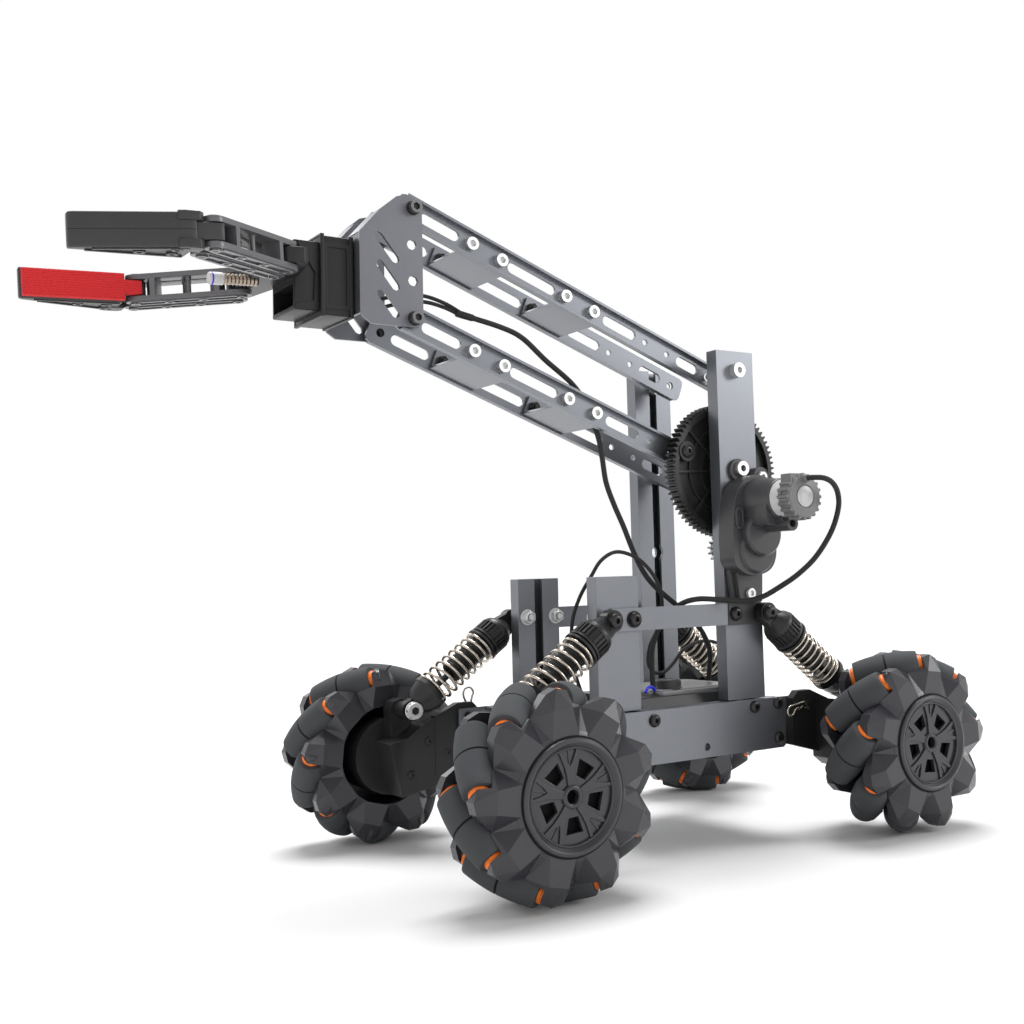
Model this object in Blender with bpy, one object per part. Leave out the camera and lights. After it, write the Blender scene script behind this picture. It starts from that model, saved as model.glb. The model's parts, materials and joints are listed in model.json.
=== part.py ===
"""Mecanum wheel robot with a parallelogram arm and a parallel-jaw gripper.

Frame: +X forward (towards the gripper), +Y the robot's left, +Z up, floor at z = 0.
Driving dimensions are in millimetres and are turned into metres when a mesh is made.
"""
import math

import bmesh
import bpy
from mathutils import Matrix, Vector
from mathutils.geometry import delaunay_2d_cdt

# ---------------------------------------------------------------- driving dimensions (mm)
MM = 0.001
ORIGIN_X = 72.05               # the object's origin, ahead of the middle of the wheelbase
GAP = 0.3                      # clearance kept between neighbouring pieces
SMOOTH_ANGLE = math.radians(35)

WHEEL_RADIUS = 48.5
WHEEL_X = 114.0                # half the wheelbase
WHEEL_Y = 92.5                 # centre plane of a wheel
ROLLER_COUNT = 9
ROLLER_AXIS_RADIUS = 39.0
ROLLER_HALF = 17.5             # half length of the rubber
BUSHING_HALF = 19.4
BUSHING_RADIUS = 4.6
HUB_FACE = 26.0                # hub ring face, measured out from the centre plane
HUB_RING_RADIUS = 25.6
FRONT_ROLLER_PHASE = 24.7      # centre angle of the first roller, degrees

RAIL_OUTER_Y = 47.5
RAIL_WALL = 2.0
RAIL_LOW_Z = 45.0
RAIL_TOP_Z = 72.6
RAIL_HALF = 84.5
HINGE_X = 79.0
HINGE_Z = 68.6

POST_WIDTH = 26.6
POST_DEPTH = 8.5
POST_OUTER_Y = 43.0
POST_WALL = 2.0
POST_SLOT = 5.0
TOWER_X = -46.1
TOWER_TOP_Z = 266.0
FRONT_POST_X = 38.8
FRONT_POST_TOP_Z = 142.1
SIDE_BAR_Z = 119.7

SHOCK_Y = 50.3
SHOCK_TOP_Z = 119.7
SHOCK_LOW_X = 112.0
SHOCK_LOW_Z = 74.0
SHOCK_TOP_FRONT_X = 48.3
SHOCK_TOP_REAR_X = -55.6

UPPER_PIVOT_Z = 254.9
LOWER_PIVOT_Z = 199.7
ARM_LENGTH = 199.9
ARM_ANGLE = math.radians(20.8)
BAR_HALF_HEIGHT = 7.0
BAR_WEB_Y = (17.0, 18.6)
BAR_FLANGE_Y = 21.2
BAR_SCREWS = (84.9, 103.7, 145.3, 163.6)
BAR_SLOTS = ((8.0, 24.0), (54.0, 77.0), (109.6, 140.2), (170.6, 193.5))
BAR_HOLES = (31.0, 47.0)

GEAR_MODULE = 1.0
GEAR_TEETH = 73
PINION_TEETH = 15
GEAR_Y = (23.4, 31.2)
PINION_Z = LOWER_PIVOT_Z - GEAR_MODULE * (GEAR_TEETH + PINION_TEETH) / 2.0
MOTOR_X = -49.0
MOTOR_Z = 181.0

BRACKET_Y = (21.5, 23.0)
BRACKET_FRONT_X = 169.2
GRIP_PITCH = math.radians(-2.9)
GRIP_ORIGIN = (209.0, 0.0, 290.4)
LINK_ROOT = ((0.0, 34.0), (2.0, 22.0))
LINK_VECTOR = (42.0, 30.0)
LINK_HALF_WIDTH = 4.6
LINK_HALF_HEIGHT = 6.6
FORK_HALF = 4.1
PAD_FACE = 46.0
JAW_TIP = 96.5


# ---------------------------------------------------------------- general helpers
def clear_scene():
    for old in list(bpy.data.objects):
        bpy.data.objects.remove(old, do_unlink=True)


def material(name, colour, metallic, roughness):
    made = bpy.data.materials.get(name)
    if made is None:
        made = bpy.data.materials.new(name)
        made.use_nodes = True
        shader = made.node_tree.nodes["Principled BSDF"]
        shader.inputs["Base Color"].default_value = (*colour, 1.0)
        shader.inputs["Metallic"].default_value = metallic
        shader.inputs["Roughness"].default_value = roughness
    return made


def anodised():
    return material("anodised_gunmetal", (0.16, 0.18, 0.20), 0.6, 0.42)


def black_plastic():
    return material("black_plastic", (0.03, 0.03, 0.033), 0.0, 0.45)


def grey_plastic():
    return material("dark_grey_plastic", (0.06, 0.062, 0.068), 0.0, 0.38)


def rubber():
    return material("roller_rubber", (0.045, 0.047, 0.05), 0.0, 0.8)


def red_rubber():
    return material("red_rubber", (0.55, 0.015, 0.02), 0.0, 0.6)


def nickel():
    return material("nickel_spring", (0.62, 0.58, 0.52), 1.0, 0.25)


def steel():
    return material("bright_steel", (0.7, 0.7, 0.7), 1.0, 0.25)


def cable_skin():
    return material("cable_skin", (0.015, 0.015, 0.015), 0.0, 0.5)


def circle(cx, cy, radius, count=16, start=0.0):
    step = 2.0 * math.pi / count
    return [(cx + radius * math.cos(start + i * step), cy + radius * math.sin(start + i * step))
            for i in range(count)]


def obround(x0, x1, cy, radius, steps=5):
    points = []
    for i in range(steps + 1):
        a = -math.pi / 2 + math.pi * i / steps
        points.append((x1 - radius + radius * math.cos(a), cy + radius * math.sin(a)))
    for i in range(steps + 1):
        a = math.pi / 2 + math.pi * i / steps
        points.append((x0 + radius + radius * math.cos(a), cy + radius * math.sin(a)))
    return points


def slanted_slot(a, b, radius, steps=3):
    """An obround from point a to point b (centres of its round ends)."""
    angle = math.atan2(b[1] - a[1], b[0] - a[0])
    points = []
    for centre, start in ((b, angle - math.pi / 2), (a, angle + math.pi / 2)):
        for i in range(steps + 1):
            t = start + math.pi * i / steps
            points.append((centre[0] + radius * math.cos(t), centre[1] + radius * math.sin(t)))
    return points


def covers(loops, x, y):
    """Even-odd test: true on the material, false outside it and in its holes."""
    inside = False
    for loop in loops:
        for (x0, y0), (x1, y1) in zip(loop, loop[1:] + loop[:1]):
            if (y0 > y) != (y1 > y) and x < x0 + (x1 - x0) * (y - y0) / (y1 - y0):
                inside = not inside
    return inside


def plate(outline, holes, low, high, axis):
    """A flat plate: a 2-D outline with holes, made thick from low to high along an axis.

    For axis Y the outline is (x, z); for Z it is (x, y); for X it is (y, z).
    """
    def place(point, height):
        if axis == "Y":
            return Vector((point[0], height, point[1]))
        if axis == "Z":
            return Vector((point[0], point[1], height))
        return Vector((height, point[0], point[1]))

    loops = [outline] + list(holes)
    points = []
    edges = []
    for loop in loops:
        start = len(points)
        count = len(loop)
        points += [Vector(p) for p in loop]
        edges += [(start + i, start + (i + 1) % count) for i in range(count)]
    flat, _, triangles, origins, _, _ = delaunay_2d_cdt(points, edges, [], 1, 1e-5)
    bm = bmesh.new()
    lower = [bm.verts.new(place(p, low)) for p in flat]
    upper = [bm.verts.new(place(p, high)) for p in flat]
    for a, b, c in triangles:
        middle = (flat[a] + flat[b] + flat[c]) / 3.0
        if covers(loops, middle.x, middle.y):
            bm.faces.new((lower[a], lower[b], lower[c]))
            bm.faces.new((upper[c], upper[b], upper[a]))
    where = {source: index for index, sources in enumerate(origins) for source in sources}
    for first, second in edges:
        a, b = where[first], where[second]
        bm.faces.new((lower[a], lower[b], upper[b], upper[a]))
    bmesh.ops.recalc_face_normals(bm, faces=bm.faces)
    return bm


def box(x0, x1, y0, y1, z0, z1):
    return plate([(x0, y0), (x1, y0), (x1, y1), (x0, y1)], [], z0, z1, "Z")


def lathe(profile, count, closed=False):
    """Turn (radius, height) points about local Z. Points of radius 0 close the ends."""
    bm = bmesh.new()
    rings = []
    for radius, height in profile:
        if radius < 1e-6:
            rings.append([bm.verts.new((0.0, 0.0, height))])
        else:
            rings.append([bm.verts.new((x, y, height)) for x, y in circle(0, 0, radius, count)])
    pairs = list(zip(rings, rings[1:]))
    if closed:
        pairs.append((rings[-1], rings[0]))
    for first, second in pairs:
        for i in range(count):
            j = (i + 1) % count
            if len(first) == 1:
                bm.faces.new((first[0], second[j], second[i]))
            elif len(second) == 1:
                bm.faces.new((first[i], first[j], second[0]))
            else:
                bm.faces.new((first[i], first[j], second[j], second[i]))
    bmesh.ops.recalc_face_normals(bm, faces=bm.faces)
    return bm


def rod(radius, low, high, count=12):
    return lathe([(0, low), (radius, low), (radius, high), (0, high)], count)


def tube(outer, inner, low, high, count=24):
    return lathe([(inner, low), (outer, low), (outer, high), (inner, high)], count, closed=True)


def moved(bm, matrix):
    bmesh.ops.transform(bm, matrix=matrix, verts=bm.verts)
    if matrix.determinant() < 0:
        bmesh.ops.reverse_faces(bm, faces=bm.faces)
    return bm


def along_y(x, y, z):
    """Local Z turned to world Y, at a point."""
    return Matrix.Translation((x, y, z)) @ Matrix.Rotation(-math.pi / 2, 4, "X")


def joined(parts):
    """Several separate shapes in one bmesh (for use as one boolean operand)."""
    total = bmesh.new()
    for bm in parts:
        mesh = bpy.data.meshes.new("temporary")
        bm.to_mesh(mesh)
        total.from_mesh(mesh)
        bm.free()
        bpy.data.meshes.remove(mesh)
    return total


def boolean(first, second, operation):
    """Exact boolean of two bmeshes; both are used up."""
    made = []
    for bm in (first, second):
        mesh = bpy.data.meshes.new("temporary")
        bm.to_mesh(mesh)
        bm.free()
        thing = bpy.data.objects.new("temporary", mesh)
        bpy.context.scene.collection.objects.link(thing)
        made.append(thing)
    change = made[0].modifiers.new("cut", "BOOLEAN")
    change.operation = operation
    change.solver = "EXACT"
    change.object = made[1]
    graph = bpy.context.evaluated_depsgraph_get()
    result = bmesh.new()
    result.from_object(made[0], graph)
    for thing in made:
        mesh = thing.data
        bpy.data.objects.remove(thing, do_unlink=True)
        bpy.data.meshes.remove(mesh)
    bmesh.ops.remove_doubles(result, verts=result.verts, dist=0.00005)
    return result


def union(first, *others):
    for other in others:
        first = boolean(first, other, "UNION")
    return first


def cut(first, *others):
    for other in others:
        first = boolean(first, other, "DIFFERENCE")
    return first


def add_node(name, bm, look, origin=(0.0, 0.0, 0.0)):
    """Make a node from a bmesh in millimetres, with its own origin at a point in millimetres."""
    bmesh.ops.triangulate(bm, faces=bm.faces)
    bmesh.ops.transform(bm, matrix=Matrix.Translation(-Vector(origin)), verts=bm.verts)
    bmesh.ops.scale(bm, vec=(MM, MM, MM), verts=bm.verts)
    mesh = bpy.data.meshes.new(name)
    bm.to_mesh(mesh)
    bm.free()
    mesh.shade_smooth()
    mesh.set_sharp_from_angle(angle=SMOOTH_ANGLE)
    mesh.materials.append(look)
    node = bpy.data.objects.new(name, mesh)
    node.location = (Vector(origin) - Vector((ORIGIN_X, 0.0, 0.0))) * MM
    bpy.context.scene.collection.objects.link(node)
    return node


def mirror_y(bm):
    return moved(bm, Matrix.Scale(-1.0, 4, Vector((0.0, 1.0, 0.0))))


def mirror_x(bm):
    return moved(bm, Matrix.Scale(-1.0, 4, Vector((1.0, 0.0, 0.0))))


def sided(bm, side):
    """Keep a shape drawn for the left, or mirror it to the right."""
    return bm if side > 0 else mirror_y(bm)


SIDES = (("left", 1), ("right", -1))
ENDS = (("front", 1), ("rear", -1))


# ---------------------------------------------------------------- chassis
def side_rail(side):
    outline = [(-68, RAIL_LOW_Z), (68, RAIL_LOW_Z), (RAIL_HALF, 61), (RAIL_HALF, RAIL_TOP_Z),
               (-RAIL_HALF, RAIL_TOP_Z), (-RAIL_HALF, 61)]
    holes = [circle(x, HINGE_Z, 2.15, 12) for x in (-HINGE_X, HINGE_X)]
    holes += [circle(x, 50.5, 2.0, 12) for x in (-65.6, -13.5, 38.8)]
    wall = plate(outline, holes, RAIL_OUTER_Y - RAIL_WALL, RAIL_OUTER_Y, "Y")
    flange = box(-68, 68, 35.0, RAIL_OUTER_Y - 0.5, RAIL_TOP_Z - 2.2, RAIL_TOP_Z - 0.2)
    return sided(union(wall, flange), side)


def floor_plate():
    """Folded tray between the rails that carries the receiver box."""
    inner = RAIL_OUTER_Y - RAIL_WALL - GAP
    outline = [(-inner, 46), (inner, 46), (inner, 62), (inner - 1.6, 62), (inner - 1.6, 47.6),
               (-inner + 1.6, 47.6), (-inner + 1.6, 62), (-inner, 62)]
    return plate(outline, [], -62, 24, "X")


def battery_box():
    """Receiver and battery case: a stepped box with bevelled top edges."""
    outline = [(-33, 48), (33, 48), (33, 72), (30.5, 77.4), (-30.5, 77.4), (-33, 72)]
    base = plate(outline, [], -60, 18, "X")
    lid = plate([(-27, 76), (27, 76), (25, 79.2), (-25, 79.2)], [], -54, 4, "X")
    return union(base, lid)


def battery_cap():
    """Round knurled screw cap on the receiver box."""
    teeth = []
    for i in range(20):
        teeth += circle(0, 0, 7.2 if i % 2 else 6.6, 20, 0.0)[i:i + 1]
    bm = plate(teeth, [], 79.5, 84.0, "Z")
    return moved(bm, Matrix.Translation((-10.5, 17.5, 0.0)))


def channel_post(x, top, bolt_heights, shaft_height, side):
    """Lipped channel standing on the rail flange, closed side outward, slot inward."""
    half = POST_WIDTH / 2.0
    out, inn = POST_OUTER_Y, POST_OUTER_Y - POST_DEPTH
    wall, slot = POST_WALL, POST_SLOT / 2.0
    section = [(-half, inn), (-slot, inn), (-slot, inn + wall), (-half + wall, inn + wall),
               (-half + wall, out - wall), (half - wall, out - wall), (half - wall, inn + wall),
               (slot, inn + wall), (slot, inn), (half, inn), (half, out), (-half, out)]
    post = plate([(x + p[0], p[1]) for p in section], [], RAIL_TOP_Z + GAP, top, "Z")
    cutters = []
    for height in bolt_heights:
        cutters.append(moved(rod(2.2, -8, 8, 12), along_y(x, POST_OUTER_Y, height)))
    if shaft_height:
        cutters.append(moved(rod(4.2, -14, 8, 14), along_y(x, POST_OUTER_Y, shaft_height)))
    if cutters:
        post = cut(post, joined(cutters))
    return sided(post, side)


def side_bar(side):
    outline = [(-54, 113.8), (44, 113.8), (44, 125.6), (-54, 125.6)]
    holes = [circle(x, SIDE_BAR_Z, 1.8, 10) for x in (-38.0, 30.3)]
    bm = plate(outline, holes, POST_OUTER_Y + GAP, POST_OUTER_Y + GAP + 2.0, "Y")
    return sided(bm, side)


# ---------------------------------------------------------------- wheels
def roller_matrix(index, phase, hand):
    """Places a roller (local Z along its axle) about the wheel's Y axis at the origin."""
    angle = math.radians(phase + index * 360.0 / ROLLER_COUNT)
    radial = Vector((math.cos(angle), 0.0, math.sin(angle)))
    tangent = Vector((-math.sin(angle), 0.0, math.cos(angle)))
    axle = (tangent * hand + Vector((0.0, -1.0, 0.0))).normalized()
    third = axle.cross(radial)
    turn = Matrix((radial, third, axle)).transposed().to_4x4()
    return Matrix.Translation(radial * ROLLER_AXIS_RADIUS) @ turn


def barrel_radius(along):
    """Radius that keeps the roller's outside on the wheel's rolling cylinder."""
    return WHEEL_RADIUS - math.sqrt(ROLLER_AXIS_RADIUS ** 2 + along * along / 2.0)


def roller_profile():
    """Barrel with a bushing showing at each end, as (radius, height) points."""
    ends = [(0, -BUSHING_HALF), (BUSHING_RADIUS, -BUSHING_HALF)]
    barrel = [(barrel_radius(t * ROLLER_HALF), t * ROLLER_HALF) for t in (-1.0, -0.4, 0.4, 1.0)]
    return ends + barrel + [(radius, -height) for radius, height in reversed(ends)]


def pocket_profile():
    """Room for a roller: a little fatter and longer than the roller itself."""
    end = BUSHING_HALF + 0.35
    rim_radius = barrel_radius(end) + 1.4
    return [(0, -end), (rim_radius, -end), (barrel_radius(0.0) + 1.2, 0), (rim_radius, end), (0, end)]


def roller_set(phase, hand):
    """Nine barrel rollers on their bushings, linked by a thin ring hidden between them."""
    rollers = []
    for index in range(ROLLER_COUNT):
        rollers.append(moved(lathe(roller_profile(), 7), roller_matrix(index, phase, hand)))
    ring = moved(tube(ROLLER_AXIS_RADIUS + 1.0, ROLLER_AXIS_RADIUS - 1.0, -1.0, 1.0, ROLLER_COUNT),
                 Matrix.Rotation(-math.radians(phase), 4, "Y") @ along_y(0, 0, 0))
    return union(ring, joined(rollers))


def star_outline(phase):
    points = []
    lobe = ((-20.0, 33.5), (-7.5, 44.8), (7.5, 44.8))
    for index in range(ROLLER_COUNT):
        for turn, radius in lobe:
            a = math.radians(phase + index * 360.0 / ROLLER_COUNT + turn)
            points.append((radius * math.cos(a), radius * math.sin(a)))
    return points


def rim(phase, hand):
    """Two star plates on a drum, hollowed for the gearbox, with room for each roller."""
    ear = math.degrees(math.atan2(15.2, ROLLER_AXIS_RADIUS))
    outer_phase = phase - ear * hand
    inner_phase = phase + ear * hand
    ring = HUB_RING_RADIUS
    drum = moved(lathe([(0, 12.5), (26.2, 12.5), (26.2, -20.3), (28.3, -20.3), (28.3, 20.6),
                        (ring, HUB_FACE), (ring - 3.0, HUB_FACE), (ring - 4.2, 21.4),
                        (0, 21.4)], 18), along_y(0, 0, 0))
    outer = plate(star_outline(outer_phase), [], 11.5, 20.0, "Y")
    inner = plate(star_outline(inner_phase), [circle(0, 0, 27.2, 20)], -19.6, -11.5, "Y")
    body = union(drum, outer, inner)
    pockets = []
    for index in range(ROLLER_COUNT):
        pockets.append(moved(lathe(pocket_profile(), 8), roller_matrix(index, phase, hand)))
    body = cut(body, joined(pockets))
    windows = []
    for index in range(5):
        a = math.radians(50 + 72 * index)
        hole = plate([(-3.8, 9.5), (3.8, 9.5), (7.2, 19), (-7.2, 19)], [], 10, 27, "Y")
        windows.append(moved(hole, Matrix.Rotation(math.pi / 2 - a, 4, "Y")))
    windows.append(moved(rod(2.9, 10, 27, 8), along_y(0, 0, 0)))
    return cut(body, joined(windows))


def keep_largest(bm):
    """Drop slivers that a cut leaves loose, keeping the main body."""
    left = set(bm.verts)
    groups = []
    while left:
        seed = left.pop()
        group = {seed}
        stack = [seed]
        while stack:
            vertex = stack.pop()
            for edge in vertex.link_edges:
                other = edge.other_vert(vertex)
                if other in left:
                    left.discard(other)
                    group.add(other)
                    stack.append(other)
        groups.append(group)
    groups.sort(key=len, reverse=True)
    for group in groups[1:]:
        bmesh.ops.delete(bm, geom=list(group), context="VERTS")
    return bm


# ---------------------------------------------------------------- suspension
def swing_arm():
    """Gearbox arm for the left front corner: hinge lug, gearbox, shock ear and hub barrel."""
    hx, hz = HINGE_X, HINGE_Z
    lug_outline = [(hx - 10, hz - 22), (hx + 19, hz - 30), (hx + 19, hz + 1), (hx + 5, hz + 7.0),
                   (hx - 4, hz + 7.0), (hx - 8, hz + 3)]
    lug = plate(lug_outline, [], RAIL_OUTER_Y + GAP, 53.0, "Y")
    case_outline = [(89, 38), (95.5, 33.1), (117.3, 28.6), (124.3, 57), (113.9, 59.5),
                    (104, 66.5), (94.8, 69.5), (88, 71)]
    case = plate(case_outline, [], 48.2, 69.5, "Y")
    ear_outline = [(105.5, 60), (117.5, 56), (118.3, 74), (116.5, 78), (112, 79.5), (107.5, 77.5),
                   (106, 73)]
    ear = plate(ear_outline, [], 60.5, 69.5, "Y")
    spacer = moved(rod(3.6, 54.6, 61.0, 12), along_y(SHOCK_LOW_X, 0, SHOCK_LOW_Z))
    bolt = moved(rod(1.5, 44.0, 62.0, 10), along_y(SHOCK_LOW_X, 0, SHOCK_LOW_Z))
    nut = moved(rod(4.5, 43.4, 45.7, 6), along_y(SHOCK_LOW_X, 0, SHOCK_LOW_Z))
    barrel = moved(rod(21.0, 68.5, 92.0, 20), along_y(WHEEL_X, 0, WHEEL_RADIUS))
    shaft = moved(rod(2.5, 91.0, 104.5, 10), along_y(WHEEL_X, 0, WHEEL_RADIUS))
    pin = moved(rod(1.8, 42.6, 56.0, 10), along_y(hx, 0, hz))
    return union(lug, case, ear, spacer, bolt, nut, barrel, shaft, pin)


def corner(bm, end, side):
    """Mirror a left-front shape to another corner."""
    if end < 0:
        bm = mirror_x(bm)
    return sided(bm, side)


def shock_frame(end, side):
    """Frame of a shock: origin at the upper pivot, local Z down along the shock."""
    low = Vector((end * SHOCK_LOW_X, side * SHOCK_Y, SHOCK_LOW_Z))
    top_x = SHOCK_TOP_FRONT_X if end > 0 else SHOCK_TOP_REAR_X
    top = Vector((top_x, side * SHOCK_Y, SHOCK_TOP_Z))
    length = (low - top).length
    down = (low - top).normalized()
    across = Vector((0.0, 1.0, 0.0))
    third = across.cross(down)
    turn = Matrix((third, across, down)).transposed().to_4x4()
    return Matrix.Translation(top) @ turn, top, low, length


def eye(radius, bore, half, along):
    """Shock eye, its bore along the shock's local Y."""
    ring = tube(radius, bore, -half, half, 12)
    return moved(ring, Matrix.Translation((0, 0, along)) @ Matrix.Rotation(-math.pi / 2, 4, "X"))


def shock_body():
    """Upper eye, ribbed cap, spring collar and damper cylinder."""
    profile = [(0, 5.0), (5.2, 5.0), (9.6, 10.0), (9.6, 19.0), (10.6, 19.5), (10.6, 23.0),
               (6.2, 23.4), (6.2, 48.0), (3.0, 48.0), (3.0, 30.0), (0, 30.0)]
    return union(lathe(profile, 12), eye(6.0, 2.3, 3.0, 0.0))


def shock_rod(length):
    """Piston rod, lower spring cup and lower eye."""
    cup = length - 16.0
    profile = [(0, 38.5), (1.9, 38.5), (1.9, cup), (9.8, cup), (9.8, cup + 2.5), (7.8, cup + 8.0),
               (4.2, cup + 12.0), (0, cup + 12.0)]
    return union(lathe(profile, 12), eye(5.6, 2.3, 3.0, length))


def coil_spring(length):
    """Round-wire spring between the body's collar and the rod's cup."""
    low, high = 23.0 + 0.8, length - 16.0 - 0.8
    turns, steps, wire, radius, corners = 7.5, 10, 0.85, 8.8, 3
    count = int(turns * steps)
    bm = bmesh.new()
    rings = []
    for i in range(count + 1):
        t = i / count
        a = 2 * math.pi * turns * t
        centre = Vector((radius * math.cos(a), radius * math.sin(a), low + (high - low) * t))
        outward = Vector((math.cos(a), math.sin(a), 0.0))
        ring = []
        for k in range(corners):
            b = 2 * math.pi * k / corners
            ring.append(bm.verts.new(centre + outward * wire * math.cos(b)
                                     + Vector((0, 0, wire * math.sin(b)))))
        rings.append(ring)
    for first, second in zip(rings, rings[1:]):
        for k in range(corners):
            j = (k + 1) % corners
            bm.faces.new((first[k], first[j], second[j], second[k]))
    bm.faces.new(rings[0][::-1])
    bm.faces.new(rings[-1])
    bmesh.ops.recalc_face_normals(bm, faces=bm.faces)
    return bm


# ---------------------------------------------------------------- arm
def arm_frame(level_z, distance=0.0):
    """Frame with local X along the bars, at a distance from the tower pivot."""
    turn = Matrix.Rotation(-ARM_ANGLE, 4, "Y")
    return Matrix.Translation((TOWER_X, 0, level_z)) @ turn @ Matrix.Translation((distance, 0, 0))


def arm_bar(level_z, side):
    """Channel bar, open side outward, with obround slots and screw holes in its web."""
    h = BAR_HALF_HEIGHT
    start, stop = -8.5, ARM_LENGTH + 7.0
    outline = [(start + 3, -h), (stop - 3, -h), (stop, -h + 3), (stop, h - 3), (stop - 3, h),
               (start + 3, h), (start, h - 3), (start, -h + 3)]
    holes = [circle(0, 0, 2.3, 12), circle(ARM_LENGTH, 0, 2.3, 12)]
    holes += [circle(s, 0, 1.7, 6) for s in BAR_SCREWS + BAR_HOLES]
    holes += [obround(a, b, 0, 2.7, 2) for a, b in BAR_SLOTS]
    web = plate(outline, holes, BAR_WEB_Y[0], BAR_WEB_Y[1], "Y")
    flanges = [box(start + 3, stop - 3, BAR_WEB_Y[1] - 0.4, BAR_FLANGE_Y, z0, z0 + 1.4)
               for z0 in (-h, h - 1.4)]
    bar = union(web, joined(flanges))
    return sided(moved(bar, arm_frame(level_z)), side)


def cross_plate(level_z, distance):
    """Folded plate that joins the left and right bars."""
    inner = BAR_WEB_Y[0] - GAP
    section = [(-inner, -6.0), (inner, -6.0), (inner, 5.0), (inner - 1.5, 5.0), (inner - 1.5, -4.5),
               (-inner + 1.5, -4.5), (-inner + 1.5, 5.0), (-inner, 5.0)]
    bm = plate(section, [], distance - 14.0, distance + 14.0, "X")
    return moved(bm, arm_frame(level_z))


def gear_outline(teeth, module, phase):
    """Simple trapezoid teeth, four points each."""
    pitch = teeth * module / 2.0
    points = []
    for i in range(teeth):
        for turn, radius in ((-0.30, pitch - 1.15 * module), (-0.14, pitch + module),
                             (0.14, pitch + module), (0.30, pitch - 1.15 * module)):
            a = phase + 2 * math.pi * (i + turn * 0.92) / teeth
            points.append((radius * math.cos(a), radius * math.sin(a)))
    return points


def arm_gear():
    """Big gear: toothed rim, thin web with windows between ribs, hub, and the bar's bolt hole."""
    low, high = GEAR_Y
    phase = -math.pi / 2
    rim_part = plate(gear_outline(GEAR_TEETH, GEAR_MODULE, phase), [circle(0, 0, 32.6, 28)],
                     low, high, "Y")
    web = moved(lathe([(2.3, low + 2.0), (33.2, low + 2.0), (33.2, low + 4.6), (2.3, low + 4.6)],
                      28, closed=True), along_y(0, 0, 0))
    hub = moved(tube(9.5, 2.3, low, high, 14), along_y(0, 0, 0))
    wheel = union(rim_part, web, hub)
    bolt = Vector((math.cos(ARM_ANGLE), 0, math.sin(ARM_ANGLE))) * 28.6
    wheel = cut(wheel, moved(rod(2.2, low - 1, high + 1, 12), along_y(bolt.x, 0, bolt.z)))
    return moved(wheel, Matrix.Translation((TOWER_X, 0, LOWER_PIVOT_Z)))


def pinion():
    """Pinion with its drive shaft, which passes through the tower into the gearbox."""
    phase = math.pi / 2 + math.pi / PINION_TEETH
    teeth = plate(gear_outline(PINION_TEETH, GEAR_MODULE, phase), [], GEAR_Y[0], GEAR_Y[1], "Y")
    shaft = moved(rod(2.0, GEAR_Y[1] - 0.5, POST_OUTER_Y + 0.3, 10), along_y(0, 0, 0))
    return moved(union(teeth, shaft), Matrix.Translation((TOWER_X, 0, PINION_Z)))


def arm_gearbox():
    """Reduction gearbox outside the left tower: teardrop case, foot, upper ear, motor mount."""
    low = POST_OUTER_Y + 0.6
    case_outline = [(-32.5, 144), (-29.5, 150), (-29.5, 164), (-32, 182), (-35, 189), (-41, 193.5),
                    (-50, 196), (-58, 193.5), (-62, 186), (-62, 176), (-59, 165), (-59, 151),
                    (-56, 144), (-51, 141), (-38, 141)]
    case = plate(case_outline, [], low, 56.0, "Y")
    foot = plate([(-54, 126), (-38, 126), (-37, 143), (-54, 143)], [], low, 50.0, "Y")
    ear = plate([(-56, 190), (-50, 194), (-57, 200.5), (-62, 200.5), (-65, 197), (-64, 191)], [],
                low, 48.5, "Y")
    drum = moved(lathe([(0, 54), (13.5, 54), (13.5, 60), (11.5, 62), (11.5, 66.5), (0, 66.5)], 20),
                 along_y(MOTOR_X, 0, MOTOR_Z))
    bulge = moved(lathe([(0, 54), (13.0, 54), (13.0, 62), (10.0, 64.5), (0, 64.5)], 18),
                  along_y(-46.5, 0, 155.5))
    return union(case, foot, ear, drum, bulge)


def arm_motor():
    """Motor can with its toothed end cap and the small screw boss beside it."""
    can = lathe([(0, 66.8), (9.4, 66.8), (9.4, 76.0), (0, 76.0)], 20)
    points = []
    for i in range(24):
        radius = 12.8 if i % 2 else 11.6
        a = 2 * math.pi * i / 24
        points.append((radius * math.cos(a), radius * math.sin(a)))
    cap = plate(points, [], 74.5, 93.0, "Z")
    boss = plate(circle(6.5, -13.0, 4.0, 12), [], 78.0, 84.0, "Z")
    return moved(union(can, cap, boss), along_y(MOTOR_X, 0, MOTOR_Z))


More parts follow.
